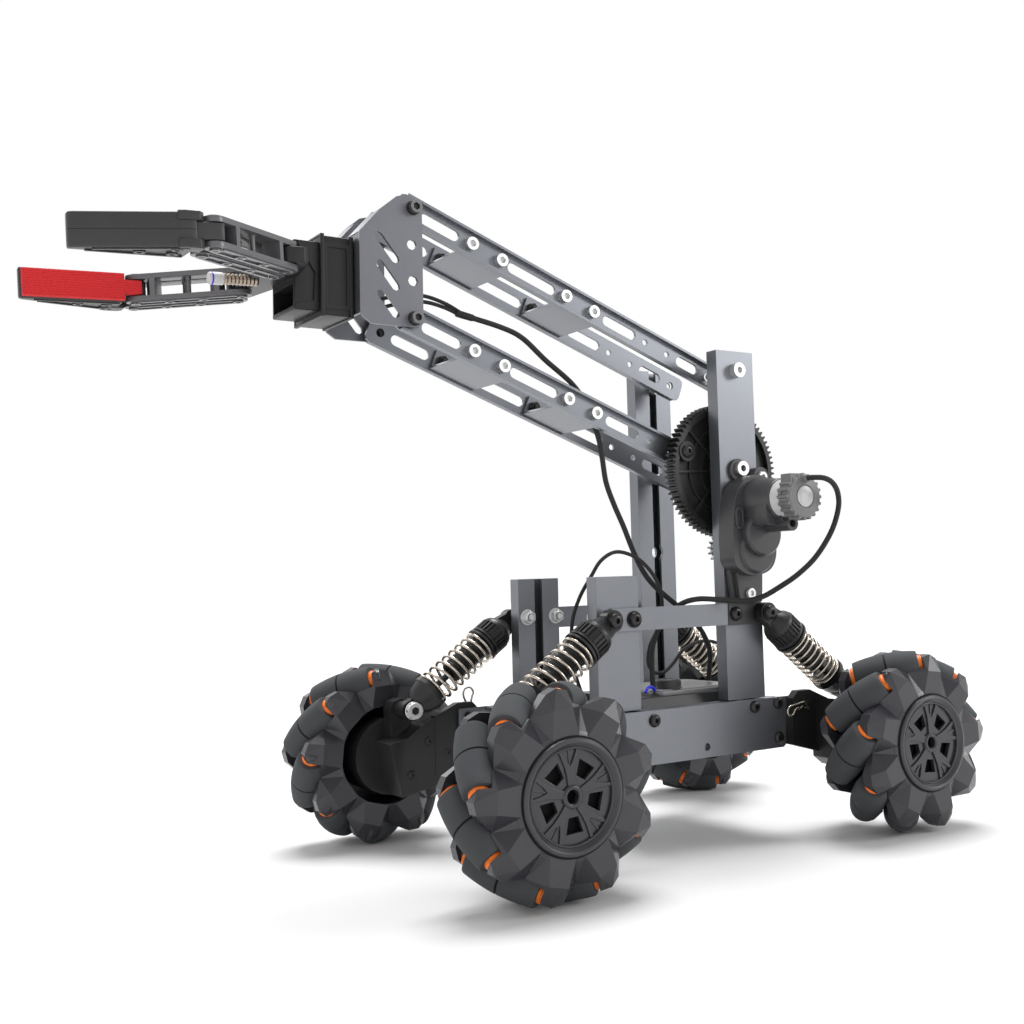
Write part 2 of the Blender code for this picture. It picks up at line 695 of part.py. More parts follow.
# ---------------------------------------------------------------- bracket and gripper
def gripper_bracket():
    """Folded sheet: two side plates with slanted slots, a front plate and two top flanges."""
    front_pivot = TOWER_X + ARM_LENGTH * math.cos(ARM_ANGLE)
    rise = ARM_LENGTH * math.sin(ARM_ANGLE)
    outline = [(138.5, 266.3), (163.2, 266.3), (167.6, 269.2), (BRACKET_FRONT_X, 272),
               (BRACKET_FRONT_X, 310.5), (157.7, 323.6), (149.5, 330.6), (144, 332.2),
               (138, 330.5), (136, 326), (136, 269.5)]
    holes = [circle(front_pivot, LOWER_PIVOT_Z + rise, 2.2, 8),
             circle(front_pivot, UPPER_PIVOT_Z + rise, 2.2, 8),
             circle(141.8, 307.3, 2.6, 8), circle(141.4, 289.3, 2.6, 8),
             slanted_slot((159.3, 309.8), (150.6, 299.0), 2.0),
             slanted_slot((158.8, 296.0), (150.4, 285.4), 2.0),
             slanted_slot((158.4, 281.6), (150.6, 271.8), 2.0)]
    side_plate = plate(outline, holes, BRACKET_Y[0], BRACKET_Y[1], "Y")
    other = mirror_y(plate(outline, holes, BRACKET_Y[0], BRACKET_Y[1], "Y"))
    front = box(BRACKET_FRONT_X - 1.6, BRACKET_FRONT_X, -BRACKET_Y[1] + 0.3, BRACKET_Y[1] - 0.3,
                271.0, 310.0)
    flange = [(168.4, 309.6), (169.2, 310.6), (157.9, 323.5), (156.9, 322.5)]
    left_flange = plate(flange, [], 9.0, BRACKET_Y[1] - 0.3, "Y")
    right_flange = mirror_y(plate(flange, [], 9.0, BRACKET_Y[1] - 0.3, "Y"))
    return union(front, side_plate, other, left_flange, right_flange)


def grip_frame():
    return Matrix.Translation(GRIP_ORIGIN) @ Matrix.Rotation(-GRIP_PITCH, 4, "Y")


def pivot_pin(u, v, reach):
    return moved(rod(1.5, -reach, reach, 10), Matrix.Translation((u, v, 0)))


def gripper_housing():
    """Stepped drive housing with the root lugs and pins of the four links."""
    rear_block = box(BRACKET_FRONT_X + GAP, 186.3, -17.0, 17.0, 269.5, 308.0)
    front_block = box(185.8, 198.0, -14.5, 14.5, 271.4, 305.0)
    lug = plate([(-13, -14), (-8, -39), (4, -39), (7, -20), (7, 20), (4, 39), (-8, 39), (-13, 14)],
                [], -3.7, 3.7, "Z")
    pins = []
    for side in (1, -1):
        for u, v in LINK_ROOT:
            pins.append(pivot_pin(u, v * side, LINK_HALF_HEIGHT + 0.6))
    lug = union(lug, joined(pins))
    lengthwise = Matrix.Translation((0, 0, -4)) @ Matrix.Rotation(math.pi / 2, 4, "Y")
    sleeve = moved(rod(4.8, 0, 27, 12), lengthwise)
    lug = moved(union(lug, sleeve), grip_frame())
    return union(rear_block, front_block, lug)


def link_shape(root):
    """Forked link between the housing lug and the jaw, drawn for the left side."""
    ux, uy = LINK_VECTOR
    length = math.hypot(ux, uy)
    angle = math.atan2(uy, ux)
    w, h = LINK_HALF_WIDTH, LINK_HALF_HEIGHT
    outline = obround(-w, length + w, 0, w, 5)
    holes = [circle(0, 0, 1.75, 10), circle(length, 0, 1.75, 10)]
    body = plate(outline, holes, -h, h, "Z")
    root_fork = box(-w - 1, 9.5, -w - 1, w + 1, -FORK_HALF, FORK_HALF)
    jaw_fork = box(length - 8.5, length + w + 1, -w - 1, w + 1, -FORK_HALF, FORK_HALF)
    body = cut(body, joined([root_fork, jaw_fork]))
    place = Matrix.Translation((root[0], root[1], 0)) @ Matrix.Rotation(angle, 4, "Z")
    return moved(body, place)


def jaw_shape():
    """Wedge jaw with its heel lug and two pins, drawn for the left side."""
    ux, uy = LINK_VECTOR
    q1 = (LINK_ROOT[0][0] + ux, LINK_ROOT[0][1] + uy)
    q2 = (LINK_ROOT[1][0] + ux, LINK_ROOT[1][1] + uy)
    blade = plate([(50.6, 49.0), (JAW_TIP, 49.0), (JAW_TIP, 53.2), (52.0, 68.2), (49.4, 68.2)], [],
                  -7.3, 7.3, "Z")
    heel = plate([(q1[0] - 4, q1[1] - 3), (q2[0] - 4, q2[1] - 3.2), (53, 49.6), (53, 67),
                  (q1[0] - 3, q1[1] + 4)], [], -3.7, 3.7, "Z")
    pins = [pivot_pin(*q1, LINK_HALF_HEIGHT + 0.6), pivot_pin(*q2, LINK_HALF_HEIGHT + 0.6)]
    return union(blade, heel, joined(pins))


def pad_shape():
    """Ribbed rubber pad on the jaw's inner face."""
    ribs = []
    low = -6.2
    count = 7
    step = 12.4 / count
    for i in range(count):
        ribs += [(PAD_FACE, low + i * step + 0.25), (PAD_FACE, low + (i + 1) * step - 0.25),
                 (PAD_FACE + 0.6, low + (i + 1) * step)]
    outline = [(48.7, -6.2), (PAD_FACE + 0.6, -6.2)] + ribs + [(48.7, 6.2)]
    return plate(outline, [], 50.5, JAW_TIP + 0.6, "X")


def gripper_piece(bm, side):
    return moved(sided(bm, side), grip_frame())


def grip_point(u, v):
    return grip_frame() @ Vector((u, v, 0.0))


# ---------------------------------------------------------------- cables
def smooth_route(points, count):
    """Catmull-Rom curve through hand-placed points, resampled evenly."""
    dense = []
    full = [points[0]] + list(points) + [points[-1]]
    for i in range(1, len(full) - 2):
        p0, p1, p2, p3 = (Vector(full[j]) for j in (i - 1, i, i + 1, i + 2))
        for k in range(20):
            t = k / 20.0
            dense.append(0.5 * ((2 * p1) + (p2 - p0) * t + (2 * p0 - 5 * p1 + 4 * p2 - p3) * t * t
                                + (3 * p1 - p0 - 3 * p2 + p3) * t * t * t))
    dense.append(Vector(points[-1]))
    lengths = [0.0]
    for first, second in zip(dense, dense[1:]):
        lengths.append(lengths[-1] + (second - first).length)
    route = []
    j = 0
    for i in range(count):
        goal = lengths[-1] * i / (count - 1)
        while j < len(lengths) - 2 and lengths[j + 1] < goal:
            j += 1
        share = (goal - lengths[j]) / max(lengths[j + 1] - lengths[j], 1e-9)
        route.append(dense[j].lerp(dense[j + 1], min(share, 1.0)))
    return route


def cable(name, points, radius, count):
    curve = bpy.data.curves.new(name, "CURVE")
    curve.dimensions = "3D"
    curve.bevel_depth = radius * MM
    curve.bevel_resolution = 2
    curve.use_fill_caps = True
    spline = curve.splines.new("POLY")
    route = smooth_route(points, count)
    spline.points.add(len(route) - 1)
    for point, place in zip(spline.points, route):
        point.co = (*((place - Vector((ORIGIN_X, 0.0, 0.0))) * MM), 1.0)
    curve.materials.append(cable_skin())
    node = bpy.data.objects.new(name, curve)
    bpy.context.scene.collection.objects.link(node)
    return node


# Each route is a hand-chosen list of points, from the end that leaves the gripper, motor or box.
ARM_CABLE = ((167.1, 6.0, 278.0), (157.0, 6.0, 279.0), (141.0, 6.0, 283.5), (127.6, 6.0, 285.5),
             (115.8, 7.0, 283.0), (106.1, 8.0, 278.5), (84.9, 9.0, 274.1), (72.0, 9.5, 269.3),
             (58.0, 9.5, 258.6), (41.2, 9.5, 246.7), (33.1, 10.5, 235.5), (27.5, 12.5, 219.1),
             (25.3, 13.0, 207.0), (23.9, 14.0, 193.5), (20.0, 15.0, 181.7), (14.8, 16.5, 168.9),
             (9.8, 18.0, 155.2), (5.0, 20.0, 144.2), (-0.1, 22.0, 136.8), (-6.7, 25.0, 130.0),
             (-13.0, 26.0, 125.0), (-21.7, 25.0, 119.0), (-31.0, 22.0, 112.2),
             (-41.0, 16.0, 104.0), (-48.0, 10.0, 96.7), (-50.5, 6.0, 89.0), (-51.0, 4.0, 80.9))
MOTOR_CABLE = ((-49.0, 93.4, 190.5), (-49.6, 98.5, 190.5), (-54.0, 102.0, 190.0),
               (-60.0, 102.0, 187.6), (-66.0, 99.5, 182.5), (-69.4, 96.0, 174.5),
               (-69.4, 90.0, 162.5), (-64.2, 83.0, 149.5), (-57.5, 76.0, 140.5),
               (-50.5, 69.0, 134.0), (-43.5, 61.5, 128.6), (-36.0, 54.5, 126.8),
               (-25.2, 48.5, 127.8), (-14.0, 43.5, 128.6), (-6.2, 39.0, 126.5),
               (-2.2, 33.5, 121.0), (1.3, 27.0, 112.6), (2.6, 23.0, 102.9), (1.5, 20.5, 93.0),
               (0.8, 20.0, 80.9))
WHEEL_CABLE = ((18.4, 27.0, 60.0), (27.0, 27.0, 61.5), (38.0, 27.5, 67.0), (49.0, 28.0, 77.0),
               (55.5, 28.5, 90.0), (58.4, 29.0, 105.0), (57.6, 29.0, 120.0), (53.0, 29.5, 132.0),
               (46.1, 30.0, 142.3), (40.1, 30.0, 150.0), (32.1, 29.5, 154.4),
               (24.4, 29.0, 154.6), (15.6, 29.0, 151.5), (9.1, 29.0, 146.7), (3.8, 29.0, 140.5),
               (0.0, 28.5, 133.0), (-2.0, 26.5, 123.5), (-3.5, 20.0, 113.0), (-2.8, 13.5, 103.5),
               (-4.5, 9.0, 94.0), (-10.5, 5.5, 88.3), (-18.3, 4.0, 87.4), (-26.5, 2.5, 91.6),
               (-35.7, 1.0, 99.0), (-48.9, -1.0, 102.7), (-61.4, -1.0, 101.6),
               (-71.0, 1.0, 95.0), (-75.5, 4.0, 84.0), (-73.5, 6.0, 71.0), (-66.5, 7.0, 63.5),
               (-60.4, 7.0, 62.0))


# ---------------------------------------------------------------- build
def build_chassis():
    for word, side in SIDES:
        add_node(f"rail_{word}", side_rail(side), anodised())
        add_node(f"side_bar_{word}", side_bar(side), anodised())
        shaft = PINION_Z
        pivots = (UPPER_PIVOT_Z, LOWER_PIVOT_Z)
        tower = channel_post(TOWER_X, TOWER_TOP_Z, pivots, shaft, side)
        add_node(f"tower_{word}", tower, anodised())
        post = channel_post(FRONT_POST_X, FRONT_POST_TOP_Z, (), None, side)
        add_node(f"front_post_{word}", post, anodised())
    add_node("floor_plate", floor_plate(), anodised())
    add_node("battery_box", battery_box(), black_plastic())
    add_node("battery_cap", battery_cap(), black_plastic())


def build_corners():
    for end_word, end in ENDS:
        for side_word, side in SIDES:
            tag = f"{end_word}_{side_word}"
            hinge = (end * HINGE_X, side * 50.0, HINGE_Z)
            add_node(f"swing_arm_{tag}", corner(swing_arm(), end, side), black_plastic(), hinge)
            hub = (end * WHEEL_X, side * WHEEL_Y, WHEEL_RADIUS)
            centre = Matrix.Translation((WHEEL_X, WHEEL_Y, WHEEL_RADIUS))
            wheel = keep_largest(rim(FRONT_ROLLER_PHASE, 1))
            add_node(f"rim_{tag}", corner(moved(wheel, centre), end, side), grey_plastic(), hub)
            rollers = roller_set(FRONT_ROLLER_PHASE, 1)
            add_node(f"rollers_{tag}", corner(moved(rollers, centre), end, side), rubber(), hub)
            frame, top, low, length = shock_frame(end, side)
            add_node(f"shock_body_{tag}", moved(shock_body(), frame), black_plastic(), top)
            add_node(f"shock_rod_{tag}", moved(shock_rod(length), frame), black_plastic(), low)
            add_node(f"spring_{tag}", moved(coil_spring(length), frame), nickel(), top)


def build_arm():
    levels = (("upper", UPPER_PIVOT_Z), ("lower", LOWER_PIVOT_Z))
    for word, height in levels:
        pivot = (TOWER_X, 0.0, height)
        for side_word, side in SIDES:
            add_node(f"arm_bar_{word}_{side_word}", arm_bar(height, side), anodised(), pivot)
        for place, distance in (("front", 154.4), ("rear", 94.3)):
            add_node(f"cross_plate_{word}_{place}", cross_plate(height, distance), anodised(), pivot)
    add_node("arm_gear", arm_gear(), black_plastic(), (TOWER_X, 0.0, LOWER_PIVOT_Z))
    add_node("arm_pinion", pinion(), steel(), (TOWER_X, 0.0, PINION_Z))
    add_node("arm_gearbox", arm_gearbox(), black_plastic())
    add_node("arm_motor", arm_motor(), grey_plastic())


def build_gripper():
    reach = ARM_LENGTH * math.cos(ARM_ANGLE)
    rise = ARM_LENGTH * math.sin(ARM_ANGLE)
    pivot = (TOWER_X + reach, 0.0, LOWER_PIVOT_Z + rise)
    add_node("gripper_bracket", gripper_bracket(), anodised(), pivot)
    add_node("gripper_housing", gripper_housing(), black_plastic(), pivot)
    for side_word, side in SIDES:
        for link_word, root in (("outer", LINK_ROOT[0]), ("inner", LINK_ROOT[1])):
            link = gripper_piece(link_shape(root), side)
            at = grip_point(root[0], root[1] * side)
            add_node(f"link_{link_word}_{side_word}", link, grey_plastic(), at)
        at = grip_point(LINK_ROOT[0][0] + LINK_VECTOR[0], (LINK_ROOT[0][1] + LINK_VECTOR[1]) * side)
        add_node(f"jaw_{side_word}", gripper_piece(jaw_shape(), side), grey_plastic(), at)
        add_node(f"pad_{side_word}", gripper_piece(pad_shape(), side), red_rubber(), at)


def build_cables():
    cable("arm_cable", ARM_CABLE, 1.5, 52)
    cable("motor_cable", MOTOR_CABLE, 1.5, 44)
    cable("wheel_cable", WHEEL_CABLE, 1.0, 70)


clear_scene()
build_chassis()
build_corners()
build_arm()
build_gripper()
build_cables()
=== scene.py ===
"""Looks of the mecanum wheel robot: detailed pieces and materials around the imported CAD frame.

Shapes are drawn in millimetres in the robot's own drawing frame: X forward from the middle of the
wheelbase, Y to the robot's left, Z up from the floor. add() turns them into metres in the row frame.
"""
import json
import math

import bmesh
import bpy
from mathutils import Matrix, Vector
from mathutils.geometry import delaunay_2d_cdt

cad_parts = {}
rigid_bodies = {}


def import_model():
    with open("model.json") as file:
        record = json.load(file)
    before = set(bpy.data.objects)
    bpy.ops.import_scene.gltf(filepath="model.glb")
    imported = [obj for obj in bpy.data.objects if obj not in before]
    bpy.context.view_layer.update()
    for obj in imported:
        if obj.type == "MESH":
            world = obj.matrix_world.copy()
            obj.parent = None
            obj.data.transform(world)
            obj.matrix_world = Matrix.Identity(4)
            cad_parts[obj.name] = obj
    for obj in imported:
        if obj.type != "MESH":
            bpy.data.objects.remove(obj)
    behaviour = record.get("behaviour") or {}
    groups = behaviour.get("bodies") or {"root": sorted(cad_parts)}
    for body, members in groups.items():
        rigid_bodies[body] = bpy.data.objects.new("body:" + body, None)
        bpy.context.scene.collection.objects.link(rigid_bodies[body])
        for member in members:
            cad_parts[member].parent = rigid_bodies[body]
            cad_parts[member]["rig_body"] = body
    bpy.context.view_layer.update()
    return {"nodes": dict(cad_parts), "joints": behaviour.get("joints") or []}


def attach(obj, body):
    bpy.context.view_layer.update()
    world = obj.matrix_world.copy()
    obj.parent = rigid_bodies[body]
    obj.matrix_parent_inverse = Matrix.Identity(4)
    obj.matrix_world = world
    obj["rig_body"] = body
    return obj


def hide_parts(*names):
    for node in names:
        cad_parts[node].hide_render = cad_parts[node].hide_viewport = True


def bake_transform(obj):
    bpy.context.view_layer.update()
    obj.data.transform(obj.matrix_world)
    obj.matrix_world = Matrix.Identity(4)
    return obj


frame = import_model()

# ---------------------------------------------------------------- sizes (mm)
MM = 0.001
JOINTS = {joint["name"]: joint for joint in frame["joints"]}


def joint_at(name):
    return Vector(JOINTS[name]["pos_m"]) / MM


MIDDLE_X = (joint_at("wheel_front_left").x + joint_at("wheel_rear_left").x) / 2.0
DRAWING_TO_ROW = Matrix.Translation((MIDDLE_X * MM, 0, 0)) @ Matrix.Scale(MM, 4)


def drawn(name):
    """A joint's place in the drawing frame."""
    return joint_at(name) - Vector((MIDDLE_X, 0, 0))


# places of the joints
WHEEL = drawn("wheel_front_left")
WHEEL_RADIUS = WHEEL.z
LOWER_PIVOT = drawn("arm_lift")
UPPER_PIVOT = drawn("arm_upper_link")
FRONT_PIVOT = drawn("gripper_level")
ARM_LENGTH = (FRONT_PIVOT - LOWER_PIVOT).length
ARM_ANGLE = math.atan2(FRONT_PIVOT.z - LOWER_PIVOT.z, FRONT_PIVOT.x - LOWER_PIVOT.x)
ARM_DIRECTION = Vector((math.cos(ARM_ANGLE), 0, math.sin(ARM_ANGLE)))
PIVOT_RISE = UPPER_PIVOT.z - LOWER_PIVOT.z
HINGE = drawn("swing_front_left")

# wheel: rollers about the axle, and the plane where the ears meet the rollers' ends
ROLLER_COUNT = 9
ROLLER_AXIS_RADIUS = 39.0
ROLLER_HALF = 17.5
ROLLER_PHASE = 24.7
EAR_PLANE = 19.9
FACET_ANGLE = 12.0

# chassis: the shock's lower eye, the tower's outer face, screws and bolts
FOOT_X, FOOT_Z = 112.0, 74.0
POST_FACE_Y = 43.0
RAIL_SCREWS = ((20.9, 67.4), (-47.5, 68.7), (-64.4, 69.5), (-64.2, 50.5))
SIDE_BAR_SCREWS = (30.3, -38)
SIDE_BAR_Z = 119.7
POST_BOLTS = (46.6, 28.1)
POST_BOLT_Z = 120.8
CAP_PLACE = (-11.5, 17.5, 0)

# arm: the bars' own features lie along them from the tower pivot
MOTOR_X, MOTOR_Z = -49.0, 181.0
SLOT_X, SLOT_Z = -34.0, 171.6
GEAR_TEETH = 73
GEAR_BOLT_REACH = 28.6
BAR_WEB_FACE = 18.6
BAR_FLANGE_Y = 21.2
BAR_SCREWS = (84.9, 103.7, 145.3, 163.6)
BAR_SLOTS = ((8.0, 24.0), (54.0, 77.0), (109.6, 140.2), (170.6, 193.5))
BAR_HOLES = (31.0, 47.0)

# gripper: its own frame, then places in that frame
GRIP_ORIGIN = Vector((209.0, 0.0, 290.4))
GRIP_PITCH = math.radians(-2.9)
LINK_ROOTS = {"outer": (0.0, 34.0), "inner": (2.0, 22.0)}
LINK_VECTOR = (42.0, 30.0)
PAD_FACE = 46.0
JAW_TIP = 96.5

SIDES = (("left", 1), ("right", -1))
ENDS = (("front", 1), ("rear", -1))


# ---------------------------------------------------------------- camera, light and floor
def make_camera():
    """Camera at the studio view: yaw, pitch and roll in degrees, place in metres."""
    yaw, pitch, roll = (math.radians(a) for a in (-125.74, 4.78, -1.75))
    forward = Vector((math.cos(yaw) * math.cos(pitch), math.sin(yaw) * math.cos(pitch), math.sin(pitch)))
    level = Vector((math.sin(yaw), -math.cos(yaw), 0.0))
    upright = level.cross(forward)
    right = level * math.cos(roll) + upright * math.sin(roll)
    up = upright * math.cos(roll) - level * math.sin(roll)
    camera = bpy.data.objects.new("camera", bpy.data.cameras.new("camera"))
    bpy.context.scene.collection.objects.link(camera)
    place = Matrix((right, up, -forward)).transposed().to_4x4()
    place.translation = Vector((0.33952, 0.57611, 0.14259))
    camera.matrix_world = place
    camera.data.sensor_width = 36.0
    camera.data.lens = 44.26
    camera.data.shift_x = -0.1159
    camera.data.shift_y = -0.0414
    camera.data.clip_start = 0.01
    bpy.context.scene.camera = camera


def add_light(name, kind, power, place, target=(0.0, 0.0, 0.0), **settings):
    """A light at a place that shines at a target."""
    light = bpy.data.objects.new(name, bpy.data.lights.new(name, kind))
    light.data.energy = power
    for key, value in settings.items():
        setattr(light.data, key, value)
    light.location = place
    light.rotation_mode = "QUATERNION"
    light.rotation_quaternion = (Vector(target) - Vector(place)).to_track_quat("-Z", "Y")
    bpy.context.scene.collection.objects.link(light)


def make_studio():
    """White surroundings, dimmer overhead; a soft key from above, a fill, a rim light and the floor."""
    world = bpy.data.worlds.new("studio")
    world.use_nodes = True
    tree = world.node_tree
    height = node(tree, "SeparateXYZ", {0: node(tree, "TexCoord", {})["Generated"]})["Z"]
    strength = node(tree, "MapRange", {"Value": height, "From Min": 0.5, "From Max": 0.85, "To Min": 1.0,
                                       "To Max": 0.4})["Result"]
    background = tree.nodes["Background"].inputs
    tree.links.new(strength, background["Strength"])
    background["Color"].default_value = (1.0, 1.0, 1.0, 1.0)
    bpy.context.scene.world = world
    bpy.context.scene.view_settings.view_transform = "Standard"
    add_light("key", "SUN", 3.5, (-0.17, -0.24, 1.0), angle=math.radians(34.0))
    add_light("fill", "AREA", 7.0, (-1.2, 1.0, 0.72), (-0.1, 0.0, 0.25), shape="DISK", size=0.6)
    add_light("rim", "AREA", 4.0, (0.3, -1.3, 1.0), (0.0, 0.0, 0.15), shape="DISK", size=0.7)
    bm = bmesh.new()
    bmesh.ops.create_grid(bm, x_segments=8, y_segments=8, size=6.0)
    mesh = bpy.data.meshes.new("studio_floor")
    bm.to_mesh(mesh)
    bm.free()
    floor = bpy.data.objects.new("studio_floor", mesh)
    bpy.context.scene.collection.objects.link(floor)
    mesh.materials.append(material("studio_floor"))


# ---------------------------------------------------------------- materials
# Each look: colour, roughness, metallic share, colour variation, its noise scale, and what else it has.
# bright_steel, cable_skin, red_rubber and roller_rubber are the frame's own materials.
PLAIN = {"bump": 0.0, "rough_spread": 0.08, "brushed": False, "specular": 0.5}
LOOKS = {
    "studio_floor": ((0.7, 0.7, 0.7), 0.8, 0.0, 0.01, 20.0, {"specular": 0.05}),
    "anodised_gunmetal": ((0.19, 0.198, 0.216), 0.36, 0.8, 0.08, 1400.0, {"bump": 0.12}),
    "dark_anodised": ((0.165, 0.167, 0.186), 0.36, 0.7, 0.1, 1400.0, {"bump": 0.12}),
    "black_plastic": ((0.011, 0.011, 0.0115), 0.38, 0.0, 0.15, 700.0, {"bump": 0.15, "specular": 0.42}),
    "grey_plastic": ((0.027, 0.0265, 0.0315), 0.26, 0.0, 0.05, 900.0, {"bump": 0.06, "rough_spread": 0.03}),
    "jaw_plastic": ((0.028, 0.0265, 0.027), 0.4, 0.0, 0.12, 700.0, {"bump": 0.12, "specular": 0.45}),
    "link_plastic": ((0.11, 0.11, 0.116), 0.3, 0.25, 0.12, 700.0, {"bump": 0.1}),
    "lid_plastic": ((0.2, 0.2, 0.207), 0.3, 0.0, 0.12, 700.0, {"bump": 0.1}),
    "motor_plastic": ((0.14, 0.138, 0.142), 0.35, 0.0, 0.12, 700.0, {"bump": 0.1}),
    "case_plastic": ((0.042, 0.041, 0.044), 0.36, 0.0, 0.12, 700.0, {"bump": 0.12}),
    "housing_plastic": ((0.009, 0.009, 0.0096), 0.42, 0.0, 0.15, 700.0, {"bump": 0.15, "specular": 0.34}),
    "white_plastic": ((0.52, 0.52, 0.52), 0.4, 0.0, 0.05, 500.0, {}),
    "orange_bushing": ((0.9, 0.19, 0.015), 0.4, 0.0, 0.08, 600.0, {"bump": 0.05}),
    "blue_tie": ((0.005, 0.012, 0.62), 0.4, 0.0, 0.1, 500.0, {}),
    # painted shade: flat black laid where the wheel's inside and its grooves lie in shade
    "painted_shade_black": ((0.004, 0.004, 0.0045), 0.7, 0.0, 0.2, 600.0, {"specular": 0.2}),
    "nickel": ((0.54, 0.485, 0.42), 0.22, 1.0, 0.1, 500.0, {"brushed": True}),
    "dark_nickel": ((0.2, 0.2, 0.205), 0.25, 1.0, 0.1, 900.0, {"bump": 0.05}),
    "black_oxide_steel": ((0.035, 0.033, 0.033), 0.32, 0.7, 0.15, 900.0, {"bump": 0.05}),
    "brass": ((0.36, 0.3, 0.24), 0.32, 1.0, 0.15, 900.0, {}),
    "brushed_disc": ((0.42, 0.42, 0.42), 0.45, 0.4, 0.15, 900.0, {"brushed": True}),
}
BROAD_NOISE = 22.0
LEAST_ROUGHNESS = 0.05
BRUSH_STRETCH = (1.0, 1.0, 0.06)
BUMP_NOISE = 2500.0
BUMP_DEPTH = 0.0001


def node(tree, kind, inputs, **settings):
    """Add a shader node; each input is a value, or the output that feeds it."""
    made = tree.nodes.new("ShaderNode" + kind)
    for key, value in settings.items():
        setattr(made, key, value)
    for key, value in inputs.items():
        if isinstance(value, bpy.types.NodeSocket):
            tree.links.new(value, made.inputs[key])
        else:
            made.inputs[key].default_value = value
    return made.outputs


def material(name):
    """Principled material: two-scale colour variation, roughness variation and fine surface bump.

    A name that the file already has, as the frame's own materials have, gives that material.
    """
    made = bpy.data.materials.get(name)
    if made:
        return made
    colour, roughness, metallic, grain, scale, rest = LOOKS[name]
    rest = {**PLAIN, **rest}
    made = bpy.data.materials.new(name)
    made.use_nodes = True
    tree = made.node_tree
    shader = tree.nodes["Principled BSDF"].inputs
    shader["Metallic"].default_value = metallic
    shader["Specular IOR Level"].default_value = rest["specular"]
    place = node(tree, "TexCoord", {})["Object"]
    stretch = BRUSH_STRETCH if rest["brushed"] else (1.0, 1.0, 1.0)
    stretched = node(tree, "Mapping", {"Vector": place, "Scale": stretch})["Vector"]
    fine = node(tree, "TexNoise", {"Vector": stretched, "Scale": scale, "Detail": 4.0})["Fac"]
    broad = node(tree, "TexNoise", {"Vector": place, "Scale": BROAD_NOISE, "Detail": 3.0})["Fac"]
    half = node(tree, "Math", {0: broad, 1: 0.5}, operation="MULTIPLY")[0]
    both = node(tree, "Math", {0: fine, 1: 0.5, 2: half}, operation="MULTIPLY_ADD")[0]
    shades = node(tree, "ValToRGB", {"Fac": both})["Color"]
    stops = shades.node.color_ramp.elements
    for stop, position, change in zip(stops, (0.3, 0.7), (-grain, grain)):
        stop.position = position
        stop.color = (*(min(c * (1.0 + change), 1.0) for c in colour), 1.0)
    tree.links.new(shades, shader["Base Color"])
    spread = rest["rough_spread"]
    rough = node(tree, "MapRange", {"Value": both, "To Min": max(roughness - spread, LEAST_ROUGHNESS),
                                    "To Max": roughness + spread})["Result"]
    tree.links.new(rough, shader["Roughness"])
    if rest["bump"]:
        pits = node(tree, "TexNoise", {"Vector": stretched, "Scale": BUMP_NOISE, "Detail": 2.0})["Fac"]
        bumped = node(tree, "Bump", {"Height": pits, "Strength": rest["bump"], "Distance": BUMP_DEPTH})
        tree.links.new(bumped["Normal"], shader["Normal"])
    return made


# ---------------------------------------------------------------- shape helpers
FLAT = math.radians(0.4)  # faces closer than this to one plane are merged
SHARP = 0.5  # radians; sharper edges are rounded in softened shapes
BEVELLED = math.radians(32)  # sharper edges get a piece's bevel
SMOOTH_ANGLE = 40  # degrees; sharper edges stay sharp in the shading
CURVE_STEPS = 20  # points drawn between two given ones before resampling


def circle(cx, cy, radius, count=24, start=0):
    step = 2 * math.pi / count
    return [(cx + radius * math.cos(start + i * step), cy + radius * math.sin(start + i * step))
            for i in range(count)]


def obround(x0, x1, cy, radius, steps=8):
    points = []
    for centre, start in ((x1 - radius, -math.pi / 2), (x0 + radius, math.pi / 2)):
        for i in range(steps + 1):
            a = start + math.pi * i / steps
            points.append((centre + radius * math.cos(a), cy + radius * math.sin(a)))
    return points


def covers(loops, x, y):
    inside = False
    for loop in loops:
        for (x0, y0), (x1, y1) in zip(loop, loop[1:] + loop[:1]):
            if (y0 > y) != (y1 > y) and x < x0 + (x1 - x0) * (y - y0) / (y1 - y0):
                inside = not inside
    return inside


def plate(outline, holes, low, high, axis="Z"):
    """Flat plate with holes; the outline is (x, y) for Z, (x, z) for Y and (y, z) for X."""
    def place(point, height):
        if axis == "Y":
            return Vector((point[0], height, point[1]))
        if axis == "Z":
            return Vector((point[0], point[1], height))
        return Vector((height, point[0], point[1]))

    loops = [outline] + list(holes)
    points, edges = [], []
    for loop in loops:
        start, count = len(points), len(loop)
        points += [Vector(p) for p in loop]
        edges += [(start + i, start + (i + 1) % count) for i in range(count)]
    flat, _, triangles, origins, _, _ = delaunay_2d_cdt(points, edges, [], 1, 1e-5)
    bm = bmesh.new()
    lower = [bm.verts.new(place(p, low)) for p in flat]
    upper = [bm.verts.new(place(p, high)) for p in flat]
    for a, b, c in triangles:
        middle = (flat[a] + flat[b] + flat[c]) / 3
        if covers(loops, middle.x, middle.y):
            bm.faces.new((lower[a], lower[b], lower[c]))
            bm.faces.new((upper[c], upper[b], upper[a]))
    where = {source: index for index, sources in enumerate(origins) for source in sources}
    for first, second in edges:
        a, b = where[first], where[second]
        bm.faces.new((lower[a], lower[b], upper[b], upper[a]))
    bmesh.ops.recalc_face_normals(bm, faces=bm.faces)
    return bm


def box(x0, x1, y0, y1, z0, z1):
    return plate([(x0, y0), (x1, y0), (x1, y1), (x0, y1)], [], z0, z1)


